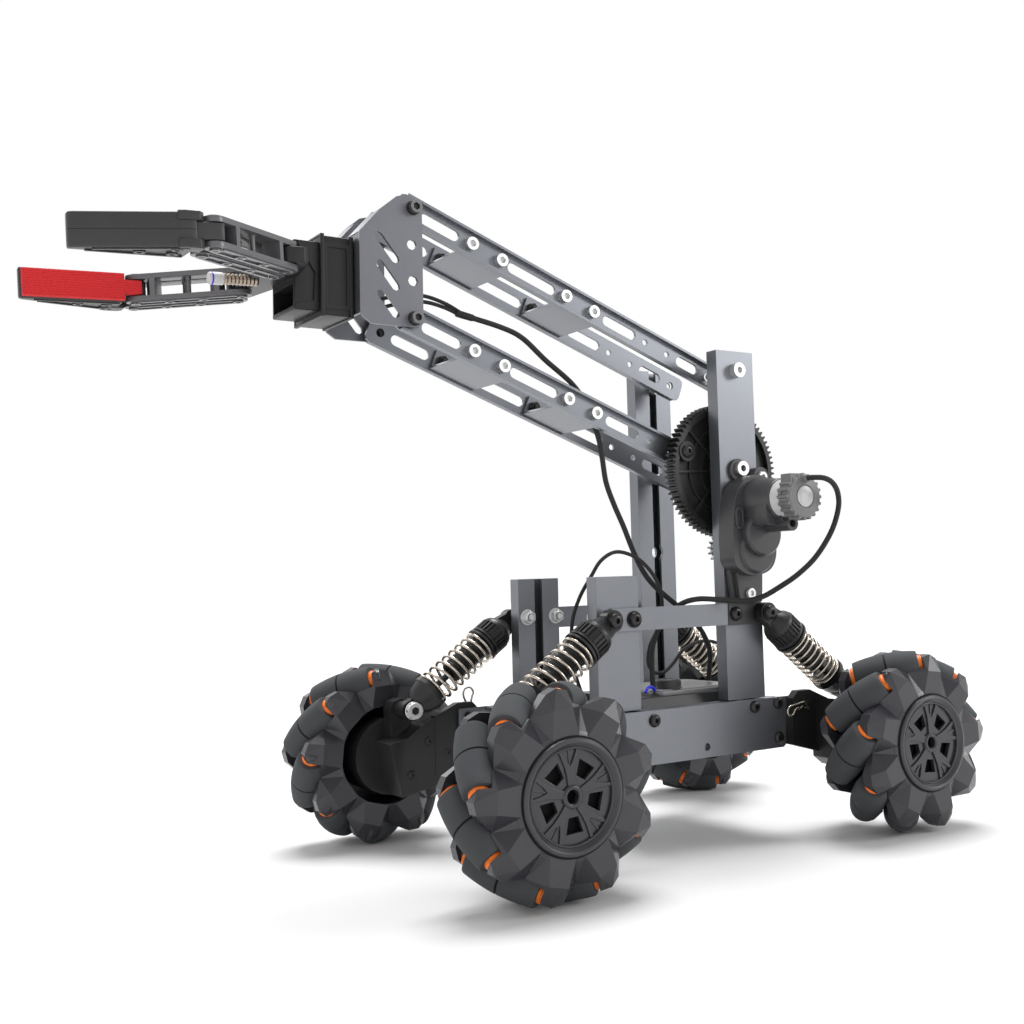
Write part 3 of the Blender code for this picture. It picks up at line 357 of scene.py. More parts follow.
def lathe(profile, count=32, closed=False):
    """Turn (radius, height) points about local Z; radius 0 closes an end."""
    bm = bmesh.new()
    rings = []
    for radius, height in profile:
        if radius < 1e-6:
            rings.append([bm.verts.new((0, 0, height))])
        else:
            rings.append([bm.verts.new((x, y, height)) for x, y in circle(0, 0, radius, count)])
    pairs = list(zip(rings, rings[1:])) + ([(rings[-1], rings[0])] if closed else [])
    for first, second in pairs:
        for i in range(count):
            j = (i + 1) % count
            if len(first) == 1:
                bm.faces.new((first[0], second[j], second[i]))
            elif len(second) == 1:
                bm.faces.new((first[i], first[j], second[0]))
            else:
                bm.faces.new((first[i], first[j], second[j], second[i]))
    bmesh.ops.recalc_face_normals(bm, faces=bm.faces)
    return bm


def rod(radius, low, high, count=24):
    return lathe([(0, low), (radius, low), (radius, high), (0, high)], count)


def ring(outer, inner, low, high, count=40):
    return lathe([(inner, low), (outer, low), (outer, high), (inner, high)], count, closed=True)


def moved(bm, matrix):
    bmesh.ops.transform(bm, matrix=matrix, verts=bm.verts)
    if matrix.determinant() < 0:
        bmesh.ops.reverse_faces(bm, faces=bm.faces)
    return bm


def shifted(bm, place):
    return moved(bm, Matrix.Translation(place))


def facing(bm, x=0, y=0, z=0, side=1):
    """Local Z turned to point along world Y (or -Y for side -1), at a point."""
    return moved(bm, Matrix.Translation((x, y, z)) @ Matrix.Rotation(-side * math.pi / 2, 4, "X"))


def joined(*parts):
    total = bmesh.new()
    for bm in parts:
        mesh = bpy.data.meshes.new("temporary")
        bm.to_mesh(mesh)
        total.from_mesh(mesh)
        bm.free()
        bpy.data.meshes.remove(mesh)
    return total


def cut(first, *others):
    """Exact difference of bmeshes, one after the other; all are used up."""
    for other in others:
        made = []
        for bm in (first, other):
            mesh = bpy.data.meshes.new("temporary")
            bm.to_mesh(mesh)
            bm.free()
            thing = bpy.data.objects.new("temporary", mesh)
            bpy.context.scene.collection.objects.link(thing)
            made.append(thing)
        change = made[0].modifiers.new("cut", "BOOLEAN")
        change.operation = "DIFFERENCE"
        change.solver = "EXACT"
        change.object = made[1]
        first = bmesh.new()
        first.from_object(made[0], bpy.context.evaluated_depsgraph_get())
        for thing in made:
            mesh = thing.data
            bpy.data.objects.remove(thing, do_unlink=True)
            bpy.data.meshes.remove(mesh)
        bmesh.ops.remove_doubles(first, verts=first.verts, dist=0.0005)
    return first


def softened(bm, width, spared=None):
    """Round the sharp edges in the mesh itself, apart from those whose two ends are spared."""
    bmesh.ops.dissolve_limit(bm, angle_limit=FLAT, verts=bm.verts, edges=bm.edges)
    edges = [e for e in bm.edges if e.calc_face_angle(0) > SHARP
             and not (spared and all(spared(v.co) for v in e.verts))]
    bmesh.ops.bevel(bm, geom=edges, offset=width, segments=3, profile=0.5, affect="EDGES",
                    clamp_overlap=True)
    return bm


def spline(p0, p1, p2, p3, t):
    """Catmull-Rom point at share t of the way from p1 to p2."""
    return 0.5 * (2 * p1 + (p2 - p0) * t + (2 * p0 - 5 * p1 + 4 * p2 - p3) * t * t
                  + (3 * p1 - p0 - 3 * p2 + p3) * t * t * t)


def rounded_outline(points, steps=6):
    """Closed smooth curve through given corners."""
    made = []
    count = len(points)
    for i in range(count):
        near = [Vector(points[(i + j) % count]) for j in (-1, 0, 1, 2)]
        made += [tuple(spline(*near, k / steps)) for k in range(steps)]
    return made


def smooth_route(points, count):
    """Catmull-Rom curve through given points, resampled evenly."""
    dense = []
    full = [points[0]] + list(points) + [points[-1]]
    for i in range(1, len(full) - 2):
        p0, p1, p2, p3 = (Vector(full[j]) for j in (i - 1, i, i + 1, i + 2))
        dense += [spline(p0, p1, p2, p3, k / CURVE_STEPS) for k in range(CURVE_STEPS)]
    dense.append(Vector(points[-1]))
    lengths = [0]
    for first, second in zip(dense, dense[1:]):
        lengths.append(lengths[-1] + (second - first).length)
    route = []
    j = 0
    for i in range(count):
        goal = lengths[-1] * i / (count - 1)
        while j < len(lengths) - 2 and lengths[j + 1] < goal:
            j += 1
        share = (goal - lengths[j]) / max(lengths[j + 1] - lengths[j], 1e-9)
        route.append(dense[j].lerp(dense[j + 1], min(share, 1)))
    return route


def swept(path, radius, sides):
    """Round tube along a path of points, with closed rounded ends."""
    bm = bmesh.new()
    turns = [2 * math.pi * k / sides for k in range(sides)]
    rings = []
    normal = None
    for i, centre in enumerate(path):
        ahead = path[min(i + 1, len(path) - 1)] - path[max(i - 1, 0)]
        tangent = ahead.normalized()
        if normal is None:
            normal = tangent.orthogonal().normalized()
        normal = (normal - tangent * normal.dot(tangent)).normalized()
        other = tangent.cross(normal)
        rings.append([bm.verts.new(centre + (normal * math.cos(a) + other * math.sin(a)) * radius)
                      for a in turns])
    for first, second in zip(rings, rings[1:]):
        for k in range(sides):
            j = (k + 1) % sides
            bm.faces.new((first[k], first[j], second[j], second[k]))
    bm.faces.new(rings[0][::-1])
    bm.faces.new(rings[-1])
    bmesh.ops.recalc_face_normals(bm, faces=bm.faces)
    return bm


def sided(bm, side):
    return bm if side > 0 else moved(bm, Matrix.Scale(-1, 4, Vector((0, 1, 0))))


def corner(bm, end, side):
    """Mirror a left-front shape to another corner of the robot."""
    if end < 0:
        bm = moved(bm, Matrix.Scale(-1, 4, Vector((1, 0, 0))))
    return sided(bm, side)


def add(name, bm, look, body, bevel=0, stands_for=(), smooth=SMOOTH_ANGLE):
    """Make a piece from a bmesh in millimetres; it rides on a body and may stand for CAD nodes."""
    bmesh.ops.dissolve_limit(bm, angle_limit=FLAT, verts=bm.verts, edges=bm.edges)
    bmesh.ops.transform(bm, matrix=DRAWING_TO_ROW, verts=bm.verts)
    mesh = bpy.data.meshes.new(name)
    bm.to_mesh(mesh)
    bm.free()
    mesh.shade_smooth()
    mesh.set_sharp_from_angle(angle=math.radians(smooth))
    mesh.materials.append(material(look))
    piece = bpy.data.objects.new(name, mesh)
    bpy.context.scene.collection.objects.link(piece)
    if bevel:
        change = piece.modifiers.new("edges", "BEVEL")
        change.width = bevel * MM
        change.segments = 2
        change.limit_method = "ANGLE"
        change.angle_limit = BEVELLED
        change.harden_normals = True
    if body:
        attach(piece, body)
    if stands_for:
        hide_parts(*stands_for)
    return piece


def refined(node, look, bevel):
    """A CAD node's own shape with softened edges; it stands for the node."""
    source = frame["nodes"][node]
    bm = bmesh.new()
    bm.from_mesh(source.data)
    bmesh.ops.transform(bm, matrix=DRAWING_TO_ROW.inverted(), verts=bm.verts)
    bmesh.ops.remove_doubles(bm, verts=bm.verts, dist=0.002)
    for layer in list(bm.loops.layers.uv.values()):
        bm.loops.layers.uv.remove(layer)
    return add(node + "_finish", bm, look, source["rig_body"], bevel, (node,))


def redrawn(node, bm, look, bevel):
    """A new shape for a CAD node, on the node's body; it stands for the node."""
    return add(node + "_look", bm, look, frame["nodes"][node]["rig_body"], bevel, (node,))


# ---------------------------------------------------------------- fasteners
def hexagon(radius):
    return circle(0, 0, radius, 6, math.pi / 6)


def cap_screw(radius, height, socket):
    """Socket-head screw, its seat at local z = 0."""
    head = plate(circle(0, 0, radius, 28), [hexagon(socket)], height * 0.4, height)
    return joined(head, rod(radius, 0, height * 0.42, 28))


def button_screw(radius, height, socket):
    """Domed head with a hexagon socket."""
    profile = [(0, 0), (radius, 0), (radius, height * 0.25), (radius * 0.92, height * 0.6),
               (radius * 0.7, height * 0.9), (socket * 1.25, height), (0, height)]
    return cut(lathe(profile, 28), plate(hexagon(socket), [], height * 0.35, height + 1))


def washer(radius, hole, thick):
    return ring(radius, hole, 0, thick, 28)


def lock_nut(across, height):
    """Hexagon nut with its round collar and the screw's end in it."""
    collar = lathe([(across * 0.36, height - 0.2), (across * 0.44, height - 0.2),
                    (across * 0.42, height + 0.9), (across * 0.34, height + 0.9)], 20, closed=True)
    bore = circle(0, 0, across * 0.27, 16)
    body = plate(hexagon(across / 2 / math.cos(math.pi / 6)), [bore], 0, height)
    return joined(body, collar, rod(across * 0.26, -0.5, height + 1.6, 16))


# ---------------------------------------------------------------- wheels
def roller_matrix(index):
    """Places a roller (local Z along its axle) about the wheel's Y axis at the origin."""
    angle = math.radians(ROLLER_PHASE + index * 360 / ROLLER_COUNT)
    radial = Vector((math.cos(angle), 0, math.sin(angle)))
    tangent = Vector((-math.sin(angle), 0, math.cos(angle)))
    axle = (tangent + Vector((0, -1, 0))).normalized()
    turn = Matrix((radial, axle.cross(radial), axle)).transposed().to_4x4()
    return Matrix.Translation(radial * ROLLER_AXIS_RADIUS) @ turn


def at_rollers(shape):
    """A copy of a shape at every roller; the shape itself is used up."""
    copies = [moved(shape.copy(), roller_matrix(i)) for i in range(ROLLER_COUNT)]
    shape.free()
    return joined(*copies)


def barrel_radius(along):
    return WHEEL_RADIUS - math.sqrt(ROLLER_AXIS_RADIUS ** 2 + along * along / 2)


def roller_profile():
    """Barrel with rounded shoulders; the shade in the middle groove is painted by a separate dark band."""
    points = [(0, -ROLLER_HALF), (5, -ROLLER_HALF), (barrel_radius(ROLLER_HALF) - 0.25, -ROLLER_HALF)]
    steps = 9
    half = []
    for i in range(steps + 1):
        along = 0.55 + (ROLLER_HALF - 0.5 - 0.55) * i / steps
        half.append((barrel_radius(along), along))
    barrel = [(r, -a) for r, a in reversed(half)]
    barrel += [(barrel_radius(0) - 0.7, -0.45), (barrel_radius(0) - 0.7, 0.45)] + half
    return points + barrel + [(r, -a) for r, a in reversed(points)]


def bushing_profile(end):
    low, high = ROLLER_HALF - 1.2, ROLLER_HALF + 2.1
    shape = [(0, low), (5.1, low), (5.1, high - 1), (4.7, high - 0.5), (4.7, high), (0, high)]
    return [(radius, height * end) for radius, height in shape]


def ear_ring(points, index, phase):
    step = 360 / ROLLER_COUNT
    made = []
    for turn, radius, across in points:
        a = math.radians(phase + index * step + turn)
        made.append(Vector((radius * math.cos(a), across, radius * math.sin(a))))
    return made


def faceted_star(phase, base, face, inner_radius):
    """Nine gem-cut ears round a ring: the outer side is facets, the inner side is flat.

    base is the flat side's height along Y and face the height of the ring; both signed.
    """
    out = 1 if face > base else -1
    valley, shoulder, tip = face - 6.6 * out, face + 0.7 * out, face - 3.6 * out
    pattern = ((-20, inner_radius, face), (-15, inner_radius, face), (15, inner_radius, face),
               (20, inner_radius, face), (-20, 38.2, valley), (20, 38.2, valley), (-7.5, 38, shoulder),
               (7.5, 38, shoulder), (-6.8, 45.2, tip), (0, 46.7, tip + 0.4 * out), (6.8, 45.2, tip))
    facets = ((0, 4, 1), (1, 4, 6), (1, 6, 7, 2), (2, 7, 5), (2, 5, 3), (4, 8, 6), (6, 8, 9), (6, 9, 7),
              (7, 9, 10), (7, 10, 5))
    wall = (4, 8, 9, 10, 5)
    bm = bmesh.new()
    for index in range(ROLLER_COUNT):
        points = [bm.verts.new(p) for p in ear_ring(pattern, index, phase)]
        lower = [bm.verts.new((points[i].co.x, base, points[i].co.z)) for i in wall]
        for facet in facets:
            bm.faces.new([points[i] for i in facet])
        for i in range(len(wall) - 1):
            bm.faces.new((points[wall[i]], points[wall[i + 1]], lower[i + 1], lower[i]))
        inner = [bm.verts.new((points[i].co.x, base, points[i].co.z)) for i in (0, 1, 2, 3)]
        bm.faces.new(lower + inner[::-1])
        for i in range(3):
            bm.faces.new((points[i], points[i + 1], inner[i + 1], inner[i]))
    bmesh.ops.remove_doubles(bm, verts=bm.verts, dist=0.001)
    bmesh.ops.recalc_face_normals(bm, faces=bm.faces)
    return bm


def ear_bosses(end):
    """Round bosses that carry one end of each roller."""
    shape = [(0, EAR_PLANE), (4.7, EAR_PLANE), (4.7, 22.2), (4, 23.6), (0, 23.9)]
    return at_rollers(lathe([(r, a * end) for r, a in shape], 36))


def wheel_rim():
    """Both stars, the drum between them and the hub ring, with a pocket for each roller."""
    ear = math.degrees(math.atan2(15.2, ROLLER_AXIS_RADIUS))
    outer = faceted_star(ROLLER_PHASE - ear, 11.2, 20.8, 26)
    inner = faceted_star(ROLLER_PHASE + ear, -11.2, -19.8, 27.2)
    end = EAR_PLANE
    rim_radius = barrel_radius(end) + 0.7
    pocket = [(0, -end), (rim_radius, -end), (barrel_radius(0) + 1, 0), (rim_radius, end), (0, end)]
    pockets = at_rollers(lathe(pocket, 36))
    stars = cut(joined(outer, inner), pockets)
    drum = facing(joined(lathe([(26.7, -19.6), (27.6, -19.6), (27.9, 20), (26.2, 20.6), (24.6, 20.2),
                                (24.6, 14), (26.7, 12)], 64, closed=True), rod(26.8, 12, 14, 64)))
    hub = facing(lathe([(25.2, 19.2), (25.2, 21.6), (24.8, 22.2), (23.6, 22.5), (23, 22.3), (21.4, 20.9),
                        (21, 21.2), (20.5, 21.2), (20.2, 20.8), (20.2, 19.2)], 96, closed=True))
    return joined(stars, drum, hub, ear_bosses(1), ear_bosses(-1))


def turned_outline(points, angle):
    """Points drawn about local +Y, turned so that it points along an angle from +X."""
    c, s = math.cos(angle - math.pi / 2), math.sin(angle - math.pi / 2)
    return [(x * c - y * s, x * s + y * c) for x, y in points]


def wheel_cap():
    """Five-window cap: windowed disc, raised forked spokes, small ribs and the hub boss."""
    window = [(-2.4, 8.9), (2.4, 8.9), (4.3, 15.6), (-4.3, 15.6)]
    fork = [(-1.7, 4.2), (1.7, 4.2), (2.2, 9.4), (3, 13.6), (5.3, 19.7), (3.8, 20.2), (1.7, 15.6),
            (0, 13.2), (-1.7, 15.6), (-3.8, 20.2), (-5.3, 19.7), (-3, 13.6), (-2.2, 9.4)]
    rib = [(-0.45, 13.4), (0.45, 13.4), (0.6, 20.3), (-0.6, 20.3)]
    windows, parts = [], []
    for index in range(5):
        a = math.radians(50 + 72 * index)
        windows.append(turned_outline(window, a))
        between = a + math.radians(36)
        parts.append(plate(turned_outline(fork, between), [], 18, 20.5, "Y"))
        parts.append(plate(turned_outline(rib, between), [], 18, 20.1, "Y"))
    disc = plate(circle(0, 0, 20.6, 64), windows + [circle(0, 0, 2.9, 24)], 17.2, 19.6, "Y")
    boss = facing(lathe([(2.9, 17.4), (6.2, 17.4), (5.2, 20.6), (4.4, 21.2), (3.6, 21.2), (2.9, 20.6)], 32,
                        closed=True))
    return joined(disc, boss, *parts)


def wheel_shadow_disc():
    """Painted shade: a dark disc for the shaded inside of the wheel, seen through the windows, and a dark
    ring for the shade in the thin groove round the hub ring.
    """
    back = rod(21.6, 14.2, 15.2, 40)
    groove = lathe([(26.05, 20.2), (26.05, 20.95), (25.2, 21), (25.2, 20.2)], 96, closed=True)
    return joined(facing(back), facing(groove))


def roller_groove_shade():
    """Thin dark band painted as shade in each roller's middle groove."""
    radius = barrel_radius(0) - 0.55
    return at_rollers(ring(radius, radius - 1, -0.44, 0.44, 32))


def make_wheels():
    rollers = at_rollers(lathe(roller_profile(), 32))
    bushings = at_rollers(joined(*(lathe(bushing_profile(end), 24) for end in (1, -1))))
    shapes = (("rim", wheel_rim(), "grey_plastic", 0.35, "grey_moulding", ("rim",)),
              ("hub_cap", wheel_cap(), "grey_plastic", 0.3, "grey_moulding", ()),
              # painted shade: a dark disc inside the wheel and a dark ring in the hub groove
              ("hub_painted_shade", wheel_shadow_disc(), "painted_shade_black", 0, None, ()),
              ("roller_set", rollers, "roller_rubber", 0, "roller_rubber", ("rollers",)),
              # painted shade: a dark band in each roller's middle groove
              ("roller_groove_shade", roller_groove_shade(), "painted_shade_black", 0, None, ()),
              ("bushings", bushings, "orange_bushing", 0.15, None, ()))
    for name, shape, look, bevel, slot, nodes in shapes:
        for end_word, end in ENDS:
            for side_word, side in SIDES:
                tag = f"{end_word}_{side_word}"
                copy = corner(shifted(shape.copy(), WHEEL), end, side)
                add(f"{name}_{tag}_look", copy, look, f"wheel_{tag}", bevel,
                    [f"{node}_{tag}" for node in nodes], FACET_ANGLE if name == "rim" else SMOOTH_ANGLE)
        shape.free()


# ---------------------------------------------------------------- suspension
def shock_frame(end, side):
    """Origin at the shock's upper pivot, local Z down along it; also its length."""
    top = drawn("shock_front_left" if end > 0 else "shock_rear_left")
    top.y *= side
    low = Vector((end * FOOT_X, top.y, FOOT_Z))
    down = (low - top).normalized()
    across = Vector((0, 1, 0))
    turn = Matrix((across.cross(down), across, down)).transposed().to_4x4()
    return Matrix.Translation(top) @ turn, top, low, (low - top).length


def eye(radius, bore, half, along):
    return moved(ring(radius, bore, -half, half, 28), Matrix.Translation((0, 0, along))
                 @ Matrix.Rotation(-math.pi / 2, 4, "X"))


def knurled(radius, depth, count, low, high):
    points = []
    for i in range(count):
        for turn, extra in ((-0.28, 0), (-0.18, depth), (0.18, depth), (0.28, 0)):
            a = 2 * math.pi * (i + turn) / count
            points.append(((radius + extra) * math.cos(a), (radius + extra) * math.sin(a)))
    return plate(points, [], low, high)


def shock_top():
    """Eye with a tapered neck, knurled cap, thin adjuster rings and the damper cylinder."""
    cap = lathe([(0, 4.8), (4.2, 4.8), (6.2, 7), (8.6, 9.6), (9.2, 10.8), (9.2, 12.6), (0, 12.6)], 40)
    ribs = knurled(8.9, 0.9, 24, 12.4, 19.4)
    collar = lathe([(0, 19.2), (9.3, 19.2), (9.9, 19.8), (9.9, 21), (9, 21.4), (9, 22), (10.2, 22.2),
                    (10.2, 23.4), (6.6, 23.8), (6.6, 24.2), (0, 24.2)], 40)
    threads = [(6.2, 23.6)]
    for i in range(14):
        threads += [(6.5, 24.4 + i * 1.5), (6, 25.15 + i * 1.5)]
    cylinder = lathe([(3, 47.8), (3, 24), *threads, (6.2, 46.6), (5.6, 47.8)], 32, closed=True)
    neck = plate([(-4.6, 0), (4.6, 0), (6.4, 8.4), (-6.4, 8.4)], [], -2.7, 2.7, "Y")
    return joined(cap, ribs, collar, cylinder, cut(neck, eye(2.4, 0.01, 4, 0)), eye(5.6, 2.4, 3, 0))


def shock_foot(length):
    """Piston rod, turned spring cup and lower eye."""
    cup = length - 16
    shape = lathe([(0, 40), (1.8, 40), (1.8, cup - 1.4), (8, cup - 1.4), (8, cup), (9.9, cup + 0.2),
                   (10, cup + 2.6), (9.3, cup + 3.4), (8, cup + 8.6), (5.4, cup + 12), (0, cup + 12)], 40)
    neck = plate([(-4, length), (4, length), (5.4, cup + 9.5), (-5.4, cup + 9.5)], [], -2.6, 2.6, "Y")
    return joined(shape, cut(neck, eye(2.4, 0.01, 4, length)), eye(5.3, 2.4, 3, length))


def coil(length):
    """Round-wire spring with closed end turns."""
    low, high, wire, radius = 24.3, length - 16.9, 0.82, 8.9
    turns, steps = 8.6, 30
    count = int(turns * steps)
    path = []
    for i in range(count + 1):
        turned = turns * i / count
        share = min(max((turned - 0.7) / (turns - 1.4), 0), 1)
        share = share * 0.93 + 0.035 * min(turned / 0.7, 1) + 0.035 * max((turned - turns + 0.7) / 0.7, 0)
        a = 2 * math.pi * turned
        path.append(Vector((radius * math.cos(a), radius * math.sin(a), low + (high - low) * share)))
    return swept(path, wire, 10)


def clip_path(x, y, z, turn, size):
    """R-clip: a straight leg through the pin and a wavy leg that grips it, in the XZ plane."""
    points = [(-9, 1.6), (-4, 0), (4, 0), (9, 0.4), (11.6, 2.8), (10.6, 6), (7.4, 6.6), (5.4, 4.4),
              (2.6, 2.6), (0, 3.6), (-2.6, 2.6), (-5.4, 4), (-8.4, 5.4)]
    c, s = math.cos(math.radians(turn)), math.sin(math.radians(turn))
    route = [Vector((x + (a * c - b * s) * size, y, z + (a * s + b * c) * size)) for a, b in points]
    return smooth_route(route, 70)


def swing_arm_screws():
    """Cover screws on the casing's inner face."""
    return joined(*(facing(button_screw(2.3, 1.2, 0.9), x, 48.2, z, -1)
                    for x, z in ((101.6, 56.8), (90.5, 49.8), (112, 40))))


def make_suspension():
    for end_word, end in ENDS:
        for side_word, side in SIDES:
            tag = f"{end_word}_{side_word}"
            place, top, low, length = shock_frame(end, side)
            refined(f"swing_arm_{tag}", "black_plastic", 0.8)
            add(f"shock_top_{tag}", moved(shock_top(), place), "black_plastic", f"shock_{tag}", 0.2,
                (f"shock_body_{tag}",))
            add(f"shock_foot_{tag}", moved(shock_foot(length), place), "black_plastic", f"piston_{tag}",
                0.2, (f"shock_rod_{tag}",))
            spring = add(f"coil_spring_{tag}", moved(coil(length), place), "nickel", None, 0,
                         (f"spring_{tag}",))
            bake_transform(spring)
            spacer = facing(rod(4.4, abs(top.y) + 3.2, 60), FOOT_X, 0, FOOT_Z)
            add(f"swing_screws_{tag}", corner(joined(swing_arm_screws(), spacer), end, side),
                "black_oxide_steel", f"swing_{tag}")
            bolt = joined(facing(cap_screw(4.3, 2.6, 2.3), FOOT_X, 44.6, FOOT_Z, -1),
                          facing(washer(4.8, 1.6, 0.8), FOOT_X, 45.4, FOOT_Z, -1))
            add(f"shock_low_bolt_{tag}", corner(bolt, end, side), "bright_steel", f"swing_{tag}", 0.3)
            head = joined(facing(washer(4.6, 1.8, 0.7), top.x * end, 53.4, top.z),
                          facing(button_screw(4, 2.3, 1.5), top.x * end, 54.1, top.z),
                          facing(rod(2, -6.5, 1), top.x * end, 53.4, top.z))
            add(f"shock_top_bolt_{tag}", corner(head, end, side), "black_oxide_steel", "chassis")
            route = (clip_path(HINGE.x - 6, 54.6, HINGE.z + 2, 62, 1) if end > 0
                     else clip_path(HINGE.x - 5, 54.6, HINGE.z + 0.2, 188, 0.8))
            clip = swept(route, 0.6, 10)
            pin = joined(facing(rod(1.7, 50, 57), HINGE.x, 0, HINGE.z), facing(washer(2.8, 1.6, 0.8),
                                                                               HINGE.x, 53.1, HINGE.z))
            add(f"hinge_pin_{tag}", corner(pin, end, side), "black_oxide_steel", f"swing_{tag}", 0.2)
            add(f"r_clip_{tag}", corner(clip, end, side), "nickel", f"swing_{tag}")


# ---------------------------------------------------------------- chassis
def make_chassis():
    for word, side in SIDES:
        for node, bevel in ((f"rail_{word}", 0.35), (f"tower_{word}", 0.3), (f"front_post_{word}", 0.3),
                            (f"side_bar_{word}", 0.35)):
            refined(node, "anodised_gunmetal", bevel)
        black = []
        for x, z in RAIL_SCREWS:
            black.append(facing(button_screw(3.4, 2, 1.3), x, 47.5, z))
            black.append(facing(lock_nut(5.5, 2.4), x, 45.5, z, -1))
        for x in SIDE_BAR_SCREWS:
            black.append(facing(washer(4.4, 1.8, 0.6), x, 45.3, SIDE_BAR_Z))
            black.append(facing(button_screw(3.8, 2.2, 1.5), x, 45.9, SIDE_BAR_Z))
        add(f"chassis_screws_{word}", sided(joined(*black), side), "black_oxide_steel", "chassis")
        tab = plate([(-56.5, 113.6), (-33, 113.6), (-33, 125.8), (-56.5, 125.8)],
                    [circle(SIDE_BAR_SCREWS[1], SIDE_BAR_Z, 1.9, 16)], 45, 45.9, "Y")
        add(f"side_bar_tab_{word}", sided(tab, side), "jaw_plastic", "chassis", 0.3)
        silver = []
        for x in POST_BOLTS:
            silver.append(facing(washer(4.4, 1.8, 0.6), x, 34.5, POST_BOLT_Z, -1))
            silver.append(facing(lock_nut(6.4, 3.2), x, 33.9, POST_BOLT_Z, -1))
        for height in (UPPER_PIVOT.z, LOWER_PIVOT.z):
            silver.append(facing(cap_screw(4.1, 4.4, 2), UPPER_PIVOT.x, POST_FACE_Y, height))
            silver.append(facing(rod(1.9, 19, 43), UPPER_PIVOT.x, 0, height))
            silver.append(facing(lock_nut(5.8, 3), UPPER_PIVOT.x, 34.4, height, -1))
        add(f"tower_bolts_{word}", sided(joined(*silver), side), "bright_steel", "chassis", 0.5)
    refined("floor_plate", "anodised_gunmetal", 0.3)


def make_battery_box():
    refined("battery_box", "black_plastic", 0.6)
    outline = [(-52, -27.5), (0, -27.5), (5, -22.5), (5, 22.5), (0, 27.5), (-52, 27.5), (-57, 22.5),
               (-57, -22.5)]
    inset = [(x * 0.94 - 1.5, y * 0.9) for x, y in outline]
    lid = joined(plate(outline, [], 72.6, 79.2), plate(inset, [], 79, 79.9))
    add("battery_lid", lid, "lid_plastic", "chassis", 0.7)
    cap = lathe([(0, 79.5), (7.6, 79.5), (7.6, 80.4), (7.1, 80.6), (7, 84.4), (6.4, 85), (3.4, 85.1),
                 (3, 84.6), (0, 84.6)], 48)
    grips = knurled(6.9, 0.25, 40, 80.8, 83.8)
    redrawn("battery_cap", shifted(joined(cap, grips), CAP_PLACE), "jaw_plastic", 0.2)
    tie = ((2.5, 24, 80.2), (5, 24.5, 82), (8.5, 26, 82.2), (11, 26.8, 79.8))
    add("blue_tie", swept(smooth_route(tie, 30), 0.85, 10), "blue_tie", "chassis")


# ---------------------------------------------------------------- arm
def arm_frame(pivot_z):
    """Local X along the bars, from the tower pivot."""
    return Matrix.Translation((LOWER_PIVOT.x, 0, pivot_z)) @ Matrix.Rotation(-ARM_ANGLE, 4, "Y")


def bar_fasteners(pivot_z):
    """Silver screws on the outside of both bars of one level, and the dark nuts behind them."""
    nuts, screws = [], []
    for side in (1, -1):
        for along in BAR_SCREWS:
            screws.append(facing(cap_screw(3.4, 3.1, 1.9), along, side * BAR_WEB_FACE, 0, side))
            nuts.append(facing(lock_nut(5.4, 2.4), along, side * 15.1, 0, -side))
    return moved(joined(*nuts), arm_frame(pivot_z)), moved(joined(*screws), arm_frame(pivot_z))


def bar_shape(pivot_z, side):
    """Channel bar, open side outward, with obround slots and screw holes in its web."""
    half, start, stop = 7, -8.5, ARM_LENGTH + 7
    outline = [(start + 3, -half), (stop - 3, -half), (stop - 0.9, -half + 0.9), (stop, -half + 3),
               (stop, half - 3), (stop - 0.9, half - 0.9), (stop - 3, half), (start + 3, half),
               (start + 0.9, half - 0.9), (start, half - 3), (start, -half + 3), (start + 0.9, -half + 0.9)]
    holes = [circle(0, 0, 2.3, 24), circle(ARM_LENGTH, 0, 2.3, 24)]
    holes += [circle(along, 0, 1.7, 20) for along in BAR_SCREWS + BAR_HOLES]
    holes += [obround(low, high, 0, 2.9, 8) for low, high in BAR_SLOTS]
    web = plate(outline, holes, BAR_WEB_FACE - 1.6, BAR_WEB_FACE, "Y")
    flanges = [box(start + 3, stop - 3, BAR_WEB_FACE - 0.4, BAR_FLANGE_Y, low, low + 1.4)
               for low in (-half, half - 1.4)]
    return sided(moved(joined(web, *flanges), arm_frame(pivot_z)), side)


def gear_teeth(teeth, module, phase):
    """Rounded trapezoid teeth."""
    pitch = teeth * module / 2
    shape = ((-0.5, -1.2), (-0.3, -1.15), (-0.22, 0), (-0.13, 0.75), (-0.07, 1), (0.07, 1), (0.13, 0.75),
             (0.22, 0), (0.3, -1.15))
    points = []
    for i in range(teeth):
        for turn, extra in shape:
            a = phase + 2 * math.pi * (i + turn) / teeth
            points.append(((pitch + extra * module) * math.cos(a), (pitch + extra * module) * math.sin(a)))
    return points


def drive_gear():
    """Toothed rim, web with ribs and rings on its outer side, hub and bolt boss."""
    teeth = plate(gear_teeth(GEAR_TEETH, 1, -math.pi / 2), [circle(0, 0, 32.6, 96)], 23.4, 31.2, "Y")
    web = facing(lathe([(2.4, 25.6), (32.9, 25.6), (32.9, 28.2), (2.4, 28.2)], 96, closed=True))
    parts = [teeth, web, facing(ring(9.6, 2.4, 23.4, 31.2, 48))]
    for radius in (15.5, 23.5):
        parts.append(facing(ring(radius + 0.7, radius - 0.7, 27.8, 29.4, 72)))
    for index in range(8):
        rib = box(9, 33, 27.8, 30.4, -0.7, 0.7)
        parts.append(moved(rib, Matrix.Rotation(-ARM_ANGLE + index * math.pi / 4 + 0.4, 4, "Y")))
    bolt = ARM_DIRECTION * GEAR_BOLT_REACH
    parts.append(facing(ring(5.2, 2, 27, 31.4, 32), bolt.x, 0, bolt.z))
    return shifted(joined(*parts), (LOWER_PIVOT.x, 0, LOWER_PIVOT.z))


